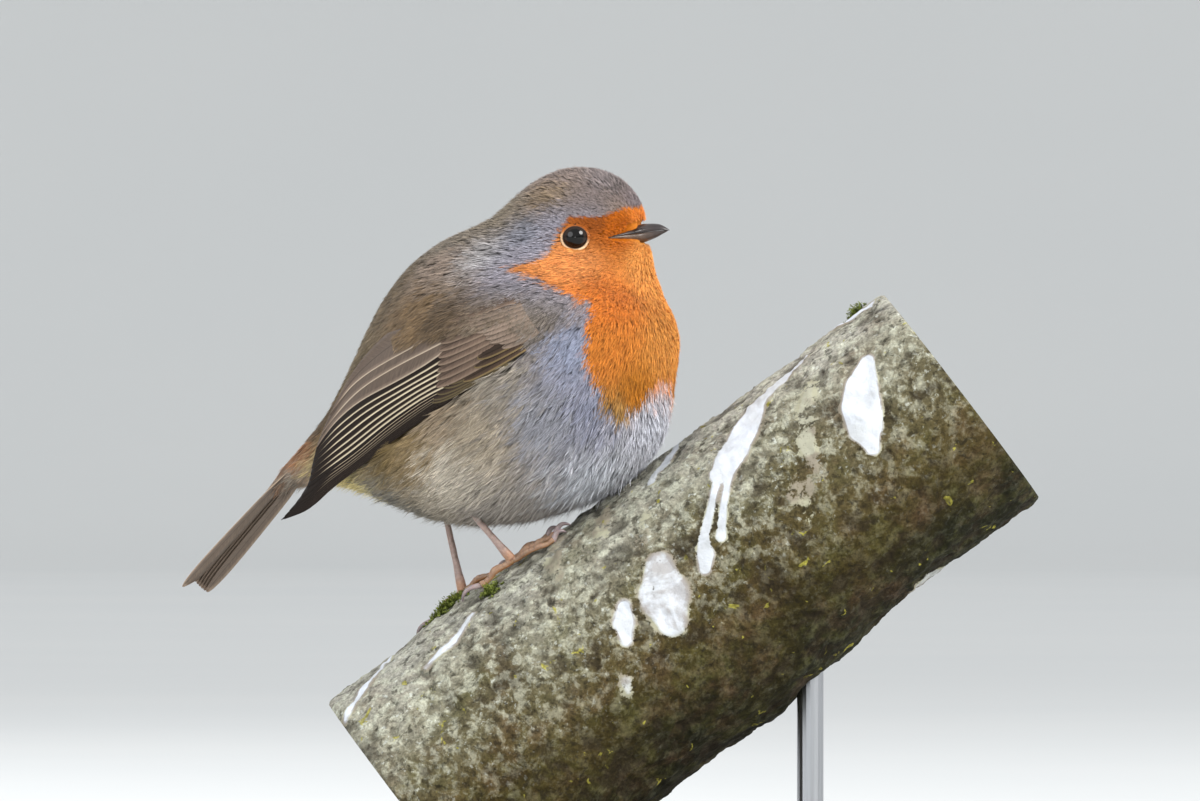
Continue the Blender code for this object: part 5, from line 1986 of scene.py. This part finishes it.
# White patches on the bark: how white, then points of the middle line of each: along the branch,
# degrees round it from its upper line to the robin's left, and how wide it is to each side there.
WHITE_PATCHES = (
    (
        1.0, (66.0, -16.6, 0.8), (60.6, -21.4, 1.2), (56.6, -25.1, 1.5), (53.0, -28.1, 2.0),
        (49.7, -35.5, 2.9),
    ),
    (1.0, (49.7, -35.5, 2.9), (44.5, -44.5, 3.3), (40.2, -50.5, 2.4)),
    (
        1.0, (39.5, -51.0, 0.9), (33.9, -62.7, 0.7), (30.2, -70.3, 0.95), (28.5, -77.0, 1.7),
        (26.9, -81.5, 1.2),
    ),
    (1.0, (41.0, -54.0, 0.8), (36.5, -64.8, 0.65), (32.8, -74.8, 0.85)),
    (
        1.0, (74.5, -49.5, 1.6), (71.3, -57.0, 3.2), (68.7, -65.3, 3.9), (66.8, -74.7, 3.4),
        (65.5, -84.0, 1.4),
    ),
    (0.52, (63.6, -39.6, 1.6), (59.4, -51.7, 2.5), (56.3, -64.0, 2.7), (54.8, -75.3, 1.2)),
    (0.72, (20.5, -68.0, 3.0), (17.8, -80.0, 5.2), (16.0, -91.0, 3.2)),
    (0.85, (10.4, -73.5, 1.6), (8.7, -78.6, 2.3), (7.0, -85.4, 1.3)),
    (1.0, (38.2, -2.7, 0.5), (32.9, -18.9, 1.15), (28.5, -26.8, 0.7)),
    (0.95, (-30.5, -9.1, 0.5), (-37.6, -23.0, 1.1), (-44.0, -34.0, 0.6)),
    (0.62, (2.3, -99.0, 1.6), (1.5, -103.0, 1.0)),
    (0.46, (49.5, -80.0, 3.0), (48.0, -90.0, 1.6)),
    (0.9, (-13.0, -27.0, 0.7), (-19.0, -35.0, 1.0), (-26.0, -38.0, 0.5)),
    (0.5, (19.0, -20.0, 1.4), (16.0, -34.0, 2.2), (15.0, -44.0, 1.6)),
    (0.48, (9.0, -14.0, 1.4), (5.0, -30.0, 2.6), (4.0, -42.0, 1.4)),
    (0.48, (24.0, -44.0, 1.4), (20.0, -54.0, 1.8)),
    (0.9, (82.0, -12.0, 1.0), (76.0, -4.0, 1.8), (70.0, 6.0, 0.8)),
    (0.8, (-30.0, 60.0, 1.6), (-33.0, 76.0, 3.4), (-36.0, 92.0, 1.6)),
    (0.9, (40.0, 30.0, 1.0), (34.0, 48.0, 2.2), (26.0, 72.0, 1.0), (22.0, 88.0, 1.6)),
    (0.7, (8.0, 92.0, 2.0), (2.0, 104.0, 4.4), (-2.0, 116.0, 2.0)),
    (0.9, (74.0, 44.0, 2.0), (69.0, 58.0, 3.6), (66.0, 72.0, 1.6)),
    (0.6, (56.0, 104.0, 2.4), (52.0, 118.0, 3.4)),
    (0.6, (24.0, 150.0, 3.2), (20.0, 160.0, 2.4)),
    (0.6, (62.0, 186.0, 3.0), (56.0, 194.0, 2.0)),
)


WHITE_EDGE = (1.7, -1.1)  # a patch comes in between so far outside its edge and so far inside it


def whiteness(along, turn):
    """How far bark is in a white patch, from 0 to the patch's own whiteness."""
    around = np.degrees(turn)
    found = np.zeros(np.broadcast(along, turn).shape)
    for strength, *line in WHITE_PATCHES:
        for (a, degrees, wide), (b, more_degrees, wider) in zip(line[:-1], line[1:]):
            x = along - a
            y = np.radians((around - degrees + 180) % 360 - 180) * BRANCH_RADIUS
            way = np.array((b - a, math.radians(more_degrees - degrees) * BRANCH_RADIUS))
            share = np.clip((x * way[0] + y * way[1]) / (way @ way), 0, 1)
            off = np.hypot(x - share * way[0], y - share * way[1]) - between((wide, wider), share)
            found = np.maximum(found, strength * smoothstep(*WHITE_EDGE, off))
    return found


def bark_finish():
    """Olive-grey bark, browner underneath and darkened there by painted shade, with soft crusts of lichen,
    white patches, and cracks darkened by painted shade.
    """
    finish = Finish("bark", Roughness=0.88, Specular_IOR_Level=0.15)
    under, white = finish.value("under"), finish.value("white")
    patchy = finish.noise(150, 5, 0.6, distortion=0.4)
    mid = finish.noise(420, 6, 0.68, distortion=0.3)
    fine = finish.noise(1500, 5, 0.7)
    brown = finish.noise(110, 5, 0.6, distortion=0.3)
    speck = finish.noise(800, 4, 0.6, distortion=0.2)
    dark = finish.noise(620, 4, 0.65, distortion=0.3)
    yellow = finish.noise(260, 3, 0.6, distortion=0.6)
    # From light on top to very dark underneath: partly the bark's own browner colour below, partly painted
    # shade on its underside.
    low = finish.math("ADD", under, finish.sway(finish.noise(60, 4, 0.55), 0.55))
    colour = finish.ramp(
        low, (0.0, rgb(168, 166, 155)), (0.16, rgb(146, 143, 126)), (0.33, rgb(96, 90, 68)),
        (0.5, rgb(80, 70, 42)), (0.66, rgb(60, 51, 23)), (0.95, rgb(28, 28, 11)),
    )
    colour = finish.tint(colour, rgb(86, 84, 46), patchy, (0.48, 0), (0.7, 0.42))
    colour = finish.tint(colour, rgb(98, 74, 56), brown, (0.5, 0), (0.72, 0.42))
    above = finish.ramp(under, (0.15, 1.0), (0.7, 0.06))
    crust = finish.times(finish.ramp(mid, (0.48, 0), (0.58, 0.75)), above)
    colour = finish.blend(colour, rgb(156, 157, 142), crust)
    flecks = finish.times(finish.ramp(speck, (0.62, 0), (0.66, 0.8)), above)
    colour = finish.blend(colour, rgb(184, 187, 178), flecks)
    colour = finish.tint(colour, rgb(36, 32, 22), dark, (0.54, 0), (0.64, 0.68))
    colour = finish.tint(colour, rgb(152, 146, 62), yellow, (0.67, 0), (0.7, 0.8))
    # Darker in the low places of the relief: painted shade in the bark's cracks and pits.
    colour = finish.tint(colour, rgb(44, 36, 26), finish.value("relief"), (0.05, 0.6), (0.32, 0))
    colour = finish.shade(colour, fine, (0.3, 0.5), (0.7, 1.42))
    colour = finish.shade(colour, mid, (0.35, 0.62), (0.65, 1.3))
    ragged = finish.sway(mid, 1.3)
    for more in (finish.sway(fine, 0.55), finish.sway(patchy, 0.8), white):
        ragged = finish.math("ADD", ragged, more)
    chalk = finish.tint(rgb(184, 187, 190), rgb(206, 211, 219), patchy, (0.35, 0), (0.6, 1))
    chalk = finish.tint(rgb(160, 158, 136), chalk, white, (0.5, 0), (0.7, 1))
    thin = finish.ramp(white, (0.71, 1), (0.75, 0))
    stain = finish.times(thin, finish.ramp(brown, (0.46, 0), (0.54, 0.7)))
    chalk = finish.blend(chalk, rgb(124, 112, 100), stain)
    colour = finish.tint(colour, chalk, ragged, (0.42, 0), (0.52, 0.95))
    return finish.set(Base_Color=colour, Normal=finish.bump(finish.blend(mid, fine, 0.5), 0.9, 0.5))


# Clumps of moss: along the branch, degrees round it, reaches along and round in millimetres, shoots.
MOSS = (
    (-16.0, 6.0, 5.4, 4.2, 260), (-12.0, 22.0, 3.0, 3.4, 90), (-7.6, -19.0, 2.2, 2.0, 70),
    (3.0, 34.0, 2.4, 2.0, 50), (55.0, 24.0, 2.6, 2.2, 60), (79.0, 4.0, 2.0, 2.6, 60),
    (-38.0, 40.0, 3.2, 2.6, 80),
)
MOSS_LEAVES = 11  # on a shoot
MOSS_HEIGHTS = (0.9, 2.3)  # of shoots in the middle of a clump
MOSS_ROOTED = 0.15  # how deep in the bark
MOSS_LEAN = 0.35  # how much shoots lean at random, and how much they grow upright
LEAF_LENGTHS = (0.55, 0.95)
LEAF_HALF = 0.11  # half of its width
LEAF_DROOP = 0.12
LEAF_SPREAD = (1.15, 0.65)  # how far leaves stand out from the foot and from the tip of a shoot
LEAF_UP = 0.8  # against how far they point along it
LEAF_SHARES = (1.1, 0.7)  # of their lengths, at the foot and at the tip
MOSS_TONES = (rgb(58, 70, 24), rgb(132, 142, 62))  # at the foot of a shoot and towards its tip


def moss_finish():
    finish = Finish("moss", Roughness=0.7, Specular_IOR_Level=0.25)
    colour, grain = finish.attribute("plumage"), finish.noise(900, 3, 0.6)
    return finish.set(Base_Color=finish.shade(colour, grain, (0.3, 0.7), (0.7, 1.2)))


def add_moss(finishes):
    """Shoots set with narrow leaves, each a folded blade."""
    rng = np.random.default_rng(91)
    points, faces, colours = [], [], []
    start = 0
    for along, degrees, reach, round_reach, number in MOSS:
        spread = rng.normal(0, 0.5, (number, 2))
        a = along + spread[:, 0] * reach
        turn = math.radians(degrees) + spread[:, 1] * round_reach / BRANCH_RADIUS
        base = branch_place(a, turn, BRANCH.radius(a, turn) - MOSS_ROOTED)
        far, near = (branch_place(a, turn, np.full(number, away)) for away in (30.0, 20.0))
        out = unit(far - near)
        grow = unit(out + rng.normal(0, MOSS_LEAN, out.shape) + (0, 0, MOSS_LEAN))
        tall = rng.uniform(*MOSS_HEIGHTS, number) * np.exp(-np.sum(spread**2, 1))
        for k in range(MOSS_LEAVES):
            up = (k + 0.5) / MOSS_LEAVES
            side = unit(np.cross(grow, rng.normal(0, 1, out.shape)))
            way = unit(side * between(LEAF_SPREAD, up) + grow * LEAF_UP)
            across = unit(np.cross(way, grow)) * LEAF_HALF
            size = rng.uniform(*LEAF_LENGTHS, (number, 1)) * between(LEAF_SHARES, up)
            root = base + grow * (tall * up)[:, None]
            middle = root + way * size * 0.5
            tip = root + way * size - (0, 0, LEAF_DROOP)
            points.append(np.stack([root, middle + across, tip, middle - across], 1).reshape(-1, 3))
            index = start + np.arange(number)[:, None] * 4
            faces.append(np.vstack([index + (0, 1, 2), index + (0, 2, 3)]))
            start += number * 4
            lightness = np.clip(up * 0.8 + rng.normal(0, 0.15, number), 0, 1)
            colours.append(np.repeat(mix(*MOSS_TONES, lightness), 4, axis=0))
    mesh_piece(
        "moss", np.vstack(points), np.vstack(faces), finishes["moss"], "bark", smooth=False,
        attributes={"plumage": np.vstack(colours)},
    )


def add_branch(finishes):
    along = np.linspace(*BRANCH_SPAN, BRANCH_ROWS)[:, None]
    turn = whole_turn(BRANCH_SIDES)[None]
    white = whiteness(along, turn)
    end = np.minimum(along - BRANCH_SPAN[0], BRANCH_SPAN[1] - along)
    less, length = END_ROUNDED
    radius = BRANCH.radius(along, turn) - less * np.exp(-end / length)
    radius = radius + WHITE_THICKNESS * smoothstep(0.4, 0.6, white)
    relief = BRANCH.relief(along + 0 * turn, turn + 0 * along)
    relief = np.clip(0.5 + 0.6 * (relief - BARK_LEVEL), 0, 1)
    # How far round towards the underside: the bark is painted darker there as painted shade, and its
    # lichens keep to the top.
    under = (1 - np.cos(turn)) / 2 + 0 * along
    mesh_piece(
        "branch_bark", branch_place(along, turn, radius).reshape(-1, 3),
        flipped(polygons_of(grid_faces(BRANCH_ROWS, BRANCH_SIDES))),
        finishes["bark"], "bark", ("perch",),
        attributes={"relief": relief.ravel(), "white": white.ravel(), "under": under.ravel()},
    )
    for which, row, forward in (("low", 0, -1), ("high", BRANCH_ROWS - 1, 1)):
        add_branch_end(which, along[row], forward, turn, radius[row], finishes)


def add_branch_end(which, along, forward, turn, rim, finishes):
    """A sawn end: rings of points from near its middle out to the rim, and one in the middle."""
    shares = np.linspace(0, 1, END_RINGS)[1:, None]
    at_rim, within = END_INSET
    at = along - forward * at_rim
    places = np.broadcast_arrays(shares * 9, np.cos(turn) * 4, np.sin(turn) * 4)
    saw = END_SAWN * BRANCH.fine.rough(np.stack(places, -1), 2)
    disc = branch_place(at - forward * (within + saw * (shares < 0.999)), turn, rim * shares)
    centre = branch_place(at, np.zeros(1), np.zeros(1))
    points = np.vstack([disc.reshape(-1, 3), centre])
    middle = len(points) - 1
    quads = polygons_of(grid_faces(END_RINGS - 1, BRANCH_SIDES))
    fan = [(middle, (k + 1) % BRANCH_SIDES, k) for k in range(BRANCH_SIDES)]
    faces = quads + fan if forward < 0 else flipped(quads + fan)
    share = np.append(np.repeat(shares, BRANCH_SIDES), 0)
    mesh_piece(
        f"branch_end_{which}", points, faces, finishes["end_grain"], "bark",
        attributes={"share": share},
    )


YEARS = 15.0  # rings in the sawn ends


def end_grain_finish():
    """Sawn wood with yearly rings and a darker rim of bark."""
    finish = Finish("end_grain", Roughness=0.8, Specular_IOR_Level=0.2)
    share = finish.value("share")
    wobble = finish.times(finish.noise(90, 3, 0.5), 0.06)
    wave = finish.math("FRACT", finish.times(finish.math("ADD", share, wobble), YEARS))
    colour = finish.ramp(
        wave, (0.0, rgb(158, 138, 108)), (0.8, rgb(146, 124, 94)), (0.96, rgb(118, 96, 70))
    )
    fine = finish.noise(900, 4, 0.6)
    colour = finish.shade(colour, fine, (0.3, 0.75), (0.7, 1.15))
    colour = finish.tint(colour, rgb(70, 54, 36), share, (0.9, 0), (0.925, 1))
    return finish.set(Base_Color=colour, Normal=finish.bump(fine, 0.4, 0.2))


# ---------------------------------------------------------------- legs and feet

# Where each foot's ball is, along the branch and round it in millimetres to the robin's left; and
# where its leg goes into the belly, in the robin's own frame.
FEET = {
    "right": {"ball": (-1.0, -4.6), "knee": (-11.2, -11.0, -18.0)},
    "left": {"ball": (-12.2, 7.4), "knee": (-18.8, 6.4, -18.0)},
}
# Each toe: how far forward and outward of the ball it ends, its radius at the root and the tip.
TOES = {
    "middle": (9.4, 0.6, 0.68, 0.5),
    "inner": (8.0, -3.4, 0.6, 0.46),
    "outer": (8.6, 3.2, 0.6, 0.46),
    "hind": (-7.6, 0.0, 0.74, 0.54),
}
TOE_PADS = {"middle": 3, "inner": 2, "outer": 3, "hind": 2}
TOE_PLATES = {"middle": 9, "inner": 9, "outer": 9, "hind": 7}
TOE_SWELL = 0.15  # how much thicker toes are at their pads, in shares
TOE_ARCH = 0.55  # how high a toe's middle is held
TOE_ROOT_RISES = 0.45  # how much higher it comes out of the foot
TOE_OVER_BARK = 0.1
TOE_STEPS = 44
TOE_SIDES = 14
SHANK_STEPS = 60
SHANK_SIDES = 16
SHANK_RADIUS = 0.66
SHANK_ALONG = (0, 0.07, 0.2, 0.5, 0.8, 1)  # places up the shank, and its radius there in shares
SHANK_SHARES = (1.5, 1.35, 0.98, 0.86, 0.95, 1.2)
SHANK_FOOT = 1.35  # how far over the bark it begins
SHANK_FURTHER = 0.12  # it goes on into the belly by this share of its length
SCUTES = 8
PLATE_STEP = 0.05  # how far a plate's start lies under the end of the one before it
PLATE_SWELL = 0.03
PLATE_LEVEL = 0.035  # how far a plate's end stands out
PAD_DEPTH = 0.08
PLATES_INSET = 0.04  # the whole tube is thinner by this
GROOVE = 0.07  # how wide grooves between plates are, in shares of a plate
LEG_COLOUR = rgb(140, 108, 92)
LEG_PALE = rgb(176, 160, 156)
TOE_COLOUR = rgb(150, 120, 98)
SOLE = rgb(178, 120, 62)
TOE_GROOVES = LEG_COLOUR * 0.35
LEG_GROOVES = LEG_COLOUR * 0.4
SOLE_ON_SHANK = (0.14, 0.02)  # places up the shank between which its colour turns to the sole's


def leg_finish():
    finish = Finish(
        "leg", Roughness=0.5, Specular_IOR_Level=0.4, Subsurface_Weight=0.12,
        Subsurface_Scale=0.0006,
    )
    colour = finish.attribute("plumage")
    return finish.grained(colour, 1800, 4, (0.3, 0.75), (0.7, 1.15), bump=(0.35, 0.06))


def plated_tube(path, radii, up, plates, sides):
    """Points of a tube with plates like a robin's leg, the plates' grooves, and the pads behind.

    The plates are on its front, which is towards up. Each starts low and rises to its end.
    """
    share = np.linspace(0, 1, len(path))
    wave = (share * plates) % 1
    step = PLATE_LEVEL - PLATE_STEP * (1 - wave) ** 3 + PLATE_SWELL * np.sin(wave * math.pi)
    angle = whole_turn(sides)
    front = np.clip(np.sin(angle), 0, 1) ** 0.6
    pads = np.clip(-np.sin(angle), 0, 1)
    pad = np.abs(np.sin(share * plates * 0.5 * math.pi)) ** 0.5
    radius = radii[:, None] + step[:, None] * front + PAD_DEPTH * pad[:, None] * pads
    radius = radius - PLATES_INSET
    points = path[:, None] + rings_along(path, up, angle) * radius[..., None]
    groove = np.exp(-((np.minimum(wave, 1 - wave) / GROOVE) ** 2))[:, None] * front
    return points, groove, pads[None] + 0 * radius


def outward_of(side, toe):
    """How far to the robin's left of the ball a toe ends."""
    return TOES[toe][1] * (1 if side == "left" else -1)


def foot_places(side, toe):
    """A toe's middle line over the bark, as world points, its radii and its upward directions."""
    forward, _, *radii = TOES[toe]
    ball = FEET[side]["ball"]
    share = np.linspace(0, 1, TOE_STEPS)
    swell = 1 + TOE_SWELL * np.cos(share * TOE_PADS[toe] * 2 * math.pi)
    radii = between(radii, share) * swell
    along = ball[0] + forward * share
    turn = (ball[1] + outward_of(side, toe) * np.sin(share * math.pi / 2)) / BRANCH_RADIUS
    arch = TOE_ARCH * np.sin(math.pi * np.minimum(1.0, share * 1.1)) ** 2
    bark = BRANCH.smooth_radius(along, turn) + TOE_OVER_BARK
    radius = bark + radii + arch + TOE_ROOT_RISES * (1 - share) ** 3
    path = branch_place(along, turn, radius)
    return path, radii, unit(branch_place(along, turn, radius + 1) - path)


def add_feet(finishes):
    for side in FEET:
        add_toes(side, finishes)
        add_shank(side, finishes)


def add_toes(side, finishes):
    parts, colours = [], []
    for toe in TOES:
        path, radii, up = foot_places(side, toe)
        points, groove, pads = plated_tube(path, radii, up, TOE_PLATES[toe], TOE_SIDES)
        colour = mix(TOE_COLOUR, SOLE, np.clip(pads * 1.3 - 0.3, 0, 1))
        colour = mix(colour, TOE_GROOVES, groove * 0.7)
        parts.append((points.reshape(-1, 3), closed_faces(TOE_STEPS, TOE_SIDES)))
        colours.append(colour.reshape(-1, 3))
    mesh_piece(
        f"toes_{side}", *join_parts(parts), finishes["leg"], "leg_skin", (f"foot_{side}",),
        attributes={"plumage": np.vstack(colours)},
    )


def add_shank(side, finishes):
    along, aside = FEET[side]["ball"]
    turn = aside / BRANCH_RADIUS
    bark = BRANCH.smooth_radius(np.array(along), np.array(turn))
    low = branch_place(along, turn, bark + SHANK_FOOT)
    high = BODY.world(FEET[side]["knee"])
    high = high + (high - low) * SHANK_FURTHER
    share = np.linspace(0, 1, SHANK_STEPS)
    path = between((low, high), share[:, None])
    radii = SHANK_RADIUS * np.interp(share, SHANK_ALONG, SHANK_SHARES)
    front = BODY.direction((1.0, 0, 0.0))
    points, groove, back = plated_tube(path, radii, front, SCUTES, SHANK_SIDES)
    colour = mix(LEG_COLOUR, LEG_PALE, 0.5 + 0 * back)
    near_foot = smoothstep(*SOLE_ON_SHANK, share)[:, None]
    colour = mix(colour, SOLE, 0.5 * near_foot + 0 * back)
    colour = mix(colour, LEG_GROOVES, groove * 0.6)
    mesh_piece(
        f"leg_{side}", points.reshape(-1, 3), closed_faces(SHANK_STEPS, SHANK_SIDES),
        finishes["leg"], "leg_skin", (f"shank_{side}",),
        attributes={"plumage": colour.reshape(-1, 3)},
    )


CLAW_REACH = {"middle": 3.3, "inner": 2.7, "outer": 2.7, "hind": 4.5}
CLAW_STEPS = 22
CLAW_SIDES = 12
CLAW_START = -0.08  # it begins inside its toe, by this share of its reach
CLAW_RADII = (0.07, 0.44)  # at the tip and at the root
CLAW_DEEPER = 1.3
CLAW_BOW = 1.05
CLAW_TIP_HEIGHT = 0.12


def add_claws(finishes):
    """Curved claws, deeper than they are wide, from the toes' ends down to the bark."""
    for side in FEET:
        for toe, reach in CLAW_REACH.items():
            forward, _, _, toe_tip = TOES[toe]
            along = FEET[side]["ball"][0] + forward
            turn = (FEET[side]["ball"][1] + outward_of(side, toe)) / BRANCH_RADIUS
            share = np.linspace(CLAW_START, 1, CLAW_STEPS)
            within = np.clip(share, 0, 1)
            bow = TOE_OVER_BARK + toe_tip + CLAW_BOW * np.sin(math.pi * within)
            high = bow * (1 - share**2) + CLAW_TIP_HEIGHT * share**2
            ahead = along + math.copysign(reach, forward) * np.sin(share * math.pi / 2)
            radii = between(CLAW_RADII, (1 - within) ** 0.8)
            turns = np.full(CLAW_STEPS, turn)
            path = branch_place(ahead, turns, BRANCH.smooth_radius(ahead, turns) + high)
            points, faces = tube(path, radii, CLAW_SIDES, up=branch_axes()[1], squash=CLAW_DEEPER)
            mesh_piece(
                f"nail_{side}_{toe}", points, faces, finishes["claw"], "claw_horn",
                (f"claw_{side}_{toe}",), attributes={"along": np.repeat(within, CLAW_SIDES)},
            )


def claw_finish():
    """Grey-mauve horn, darker to the tip."""
    finish = Finish(
        "claw", Roughness=0.3, Specular_IOR_Level=0.5, Subsurface_Weight=0.2,
        Subsurface_Scale=0.0004,
    )
    along = finish.value("along")
    colour = finish.ramp(along, (0.0, rgb(156, 140, 138)), (1.0, rgb(104, 92, 94)))
    return finish.grained(colour, 1500, 4, (0.3, 0.8), (0.7, 1.1), bump=(0.2, 0.03))


# ---------------------------------------------------------------- finishes of the rest


def bristle_finish():
    finish = Finish("bristle", Roughness=0.5, Specular_IOR_Level=0.5)
    grain = finish.noise(1500, 4, 0.6)
    black = rgb(40, 30, 26)
    shade = finish.tint(black * 0.7, black * 1.2, grain, (0.35, 0), (0.65, 1))
    return finish.set(Base_Color=shade, Normal=finish.bump(grain, 0.3, 0.05))


def wood_finish():
    """Dark stained wood with a fine grain along the base's length."""
    finish = Finish(
        "stand_wood", Roughness=0.42, Specular_IOR_Level=0.4, Coat_Weight=0.25, Coat_Roughness=0.3
    )
    stretched = finish.node("Mapping", Vector=finish.place(), Scale=(4.0, 60.0, 60.0))
    grain = finish.noise(6.0, 6, 0.62, where=stretched, distortion=0.6)
    pores = finish.noise(70.0, 3, 0.6, where=stretched)
    colour = finish.ramp(
        grain, (0.3, rgb(56, 36, 24)), (0.5, rgb(84, 56, 36)), (0.7, rgb(104, 72, 46))
    )
    colour = finish.shade(colour, pores, (0.35, 0.6), (0.6, 1.05))
    return finish.set(Base_Color=colour, Normal=finish.bump(pores, 0.25, 0.1))


def steel_finish():
    """Brushed steel, drawn along the rod."""
    finish = Finish("stand_steel", Metallic=1.0, Roughness=0.32)
    stretched = finish.node("Mapping", Vector=finish.place(), Scale=(1600.0, 1600.0, 30.0))
    lines = finish.noise(1.0, 3, 0.6, where=stretched)
    colour = finish.blend(rgb(150, 152, 155), rgb(186, 188, 192), lines)
    return finish.set(Base_Color=colour, Normal=finish.bump(lines, 0.25, 0.02))


def make_finishes():
    return {
        "coat": plumage_finish("plumage", 0.12),
        "skin": skin_finish(),
        "eye": eye_finish(),
        "lid": lid_finish(),
        "flight": vane_finish("flight_web", 0.3),
        "coverts": vane_finish("covert_web", 0.3, 0.45),
        "tail": vane_finish("tail_web", 0.13, 0.75),
        "bill_upper": bill_finish("bill_upper", rgb(50, 44, 44), rgb(60, 52, 50)),
        "bill_lower": bill_finish("bill_lower", rgb(56, 48, 46), rgb(104, 84, 70)),
        "bristle": bristle_finish(),
        "claw": claw_finish(),
        "moss": moss_finish(),
        "leg": leg_finish(),
        "bark": bark_finish(),
        "end_grain": end_grain_finish(),
        "wood": wood_finish(),
        "steel": steel_finish(),
    }


def finish_stand(finishes):
    """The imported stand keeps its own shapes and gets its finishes."""
    for node, name in (("stand_base", "wood"), ("stand_rod_low", "steel"), ("stand_rod_high", "steel")):
        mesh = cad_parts[node].data
        mesh.materials.clear()
        mesh.materials.append(finishes[name])


# ---------------------------------------------------------------- stage and camera

CAMERA_PLACE = (-5.66, -3000.0, 114.6)
CAMERA_WIDTH = 226.4  # millimetres of the model's middle plane that the picture is wide
SENSOR = 36.0
FLOOR_RADIUS = 9000.0
FLOOR_CURVE = 1100.0  # the radius of the bend up to the wall
FLOOR_BEND_STEPS = 12
FLOOR_RIM = 1500.0  # how high the wall goes
FLOOR_SIDES = 96


def add_stage():
    finish = Finish("studio_floor", Roughness=0.9, Specular_IOR_Level=0.1)
    tone = finish.noise(3.0, 2, 0.5)
    shade = finish.blend(rgb(206, 208, 208), rgb(211, 212, 211), tone)
    material = finish.set(Base_Color=shade)
    flat = FLOOR_RADIUS - FLOOR_CURVE
    profile = [(0.05, 0.0), (FLOOR_RADIUS * 0.3, 0.0), (flat, 0.0)]
    for i in range(1, FLOOR_BEND_STEPS + 1):
        angle = i / FLOOR_BEND_STEPS * math.pi / 2
        rise = FLOOR_CURVE * (1 - math.cos(angle))
        profile.append((flat + FLOOR_CURVE * math.sin(angle), rise))
    profile.append((FLOOR_RADIUS, FLOOR_RIM))
    turn = whole_turn(FLOOR_SIDES)
    radii, heights = np.array(profile)[:, :1], np.array(profile)[:, 1:]
    points = np.stack([radii * np.cos(turn), radii * np.sin(turn), heights + 0 * turn], -1)
    faces = flipped(polygons_of(grid_faces(len(profile), FLOOR_SIDES))) + [tuple(range(FLOOR_SIDES))]
    floor = mesh_piece("studio_floor", points.reshape(-1, 3), faces, material, None)


def add_light(name, place, aim, size, power, colour):
    data = bpy.data.lights.new(name, "AREA")
    data.shape = "DISK"
    data.size = size
    data.energy = power
    data.color = colour
    lamp = bpy.data.objects.new(name, data)
    lamp.location = place
    lamp.rotation_euler = (Vector(aim) - Vector(place)).to_track_quat("-Z", "Y").to_euler()
    lamp.visible_camera = False
    bpy.context.scene.collection.objects.link(lamp)


def add_lights_and_camera():
    scene = bpy.context.scene
    world = bpy.data.worlds.new("studio")
    world.use_nodes = True
    background = world.node_tree.nodes["Background"]
    background.inputs["Color"].default_value = (0.96, 0.98, 1.0, 1)
    background.inputs["Strength"].default_value = 1.0
    scene.world = world
    aim = (-0.01, 0, 0.1)
    add_light("key", (1.5, -1.3, 1.3), aim, 1.0, 60, (1.0, 0.985, 0.96))
    add_light("fill", (-1.2, -1.5, 0.8), aim, 1.4, 18, (0.96, 0.98, 1.0))
    add_light("back", (-1.1, 1.5, 1.4), aim, 1.6, 20, (0.97, 0.98, 1.0))
    data = bpy.data.cameras.new("camera")
    data.sensor_width = SENSOR
    data.lens = SENSOR * abs(CAMERA_PLACE[1]) / CAMERA_WIDTH
    data.clip_end = 100.0
    camera = bpy.data.objects.new("camera", data)
    camera.location = Vector(CAMERA_PLACE) * MM
    camera.rotation_euler = (math.pi / 2, 0, 0)
    scene.collection.objects.link(camera)
    scene.camera = camera
    scene.view_settings.view_transform = "Standard"


def main():
    finishes = make_finishes()
    add_skin(finishes)
    add_coat(finishes)
    add_wings(finishes)
    add_tail(finishes)
    add_eyes(finishes, np.random.default_rng(71))
    add_bill(finishes)
    add_branch(finishes)
    add_moss(finishes)
    add_feet(finishes)
    add_claws(finishes)
    finish_stand(finishes)
    add_stage()
    add_lights_and_camera()


main()
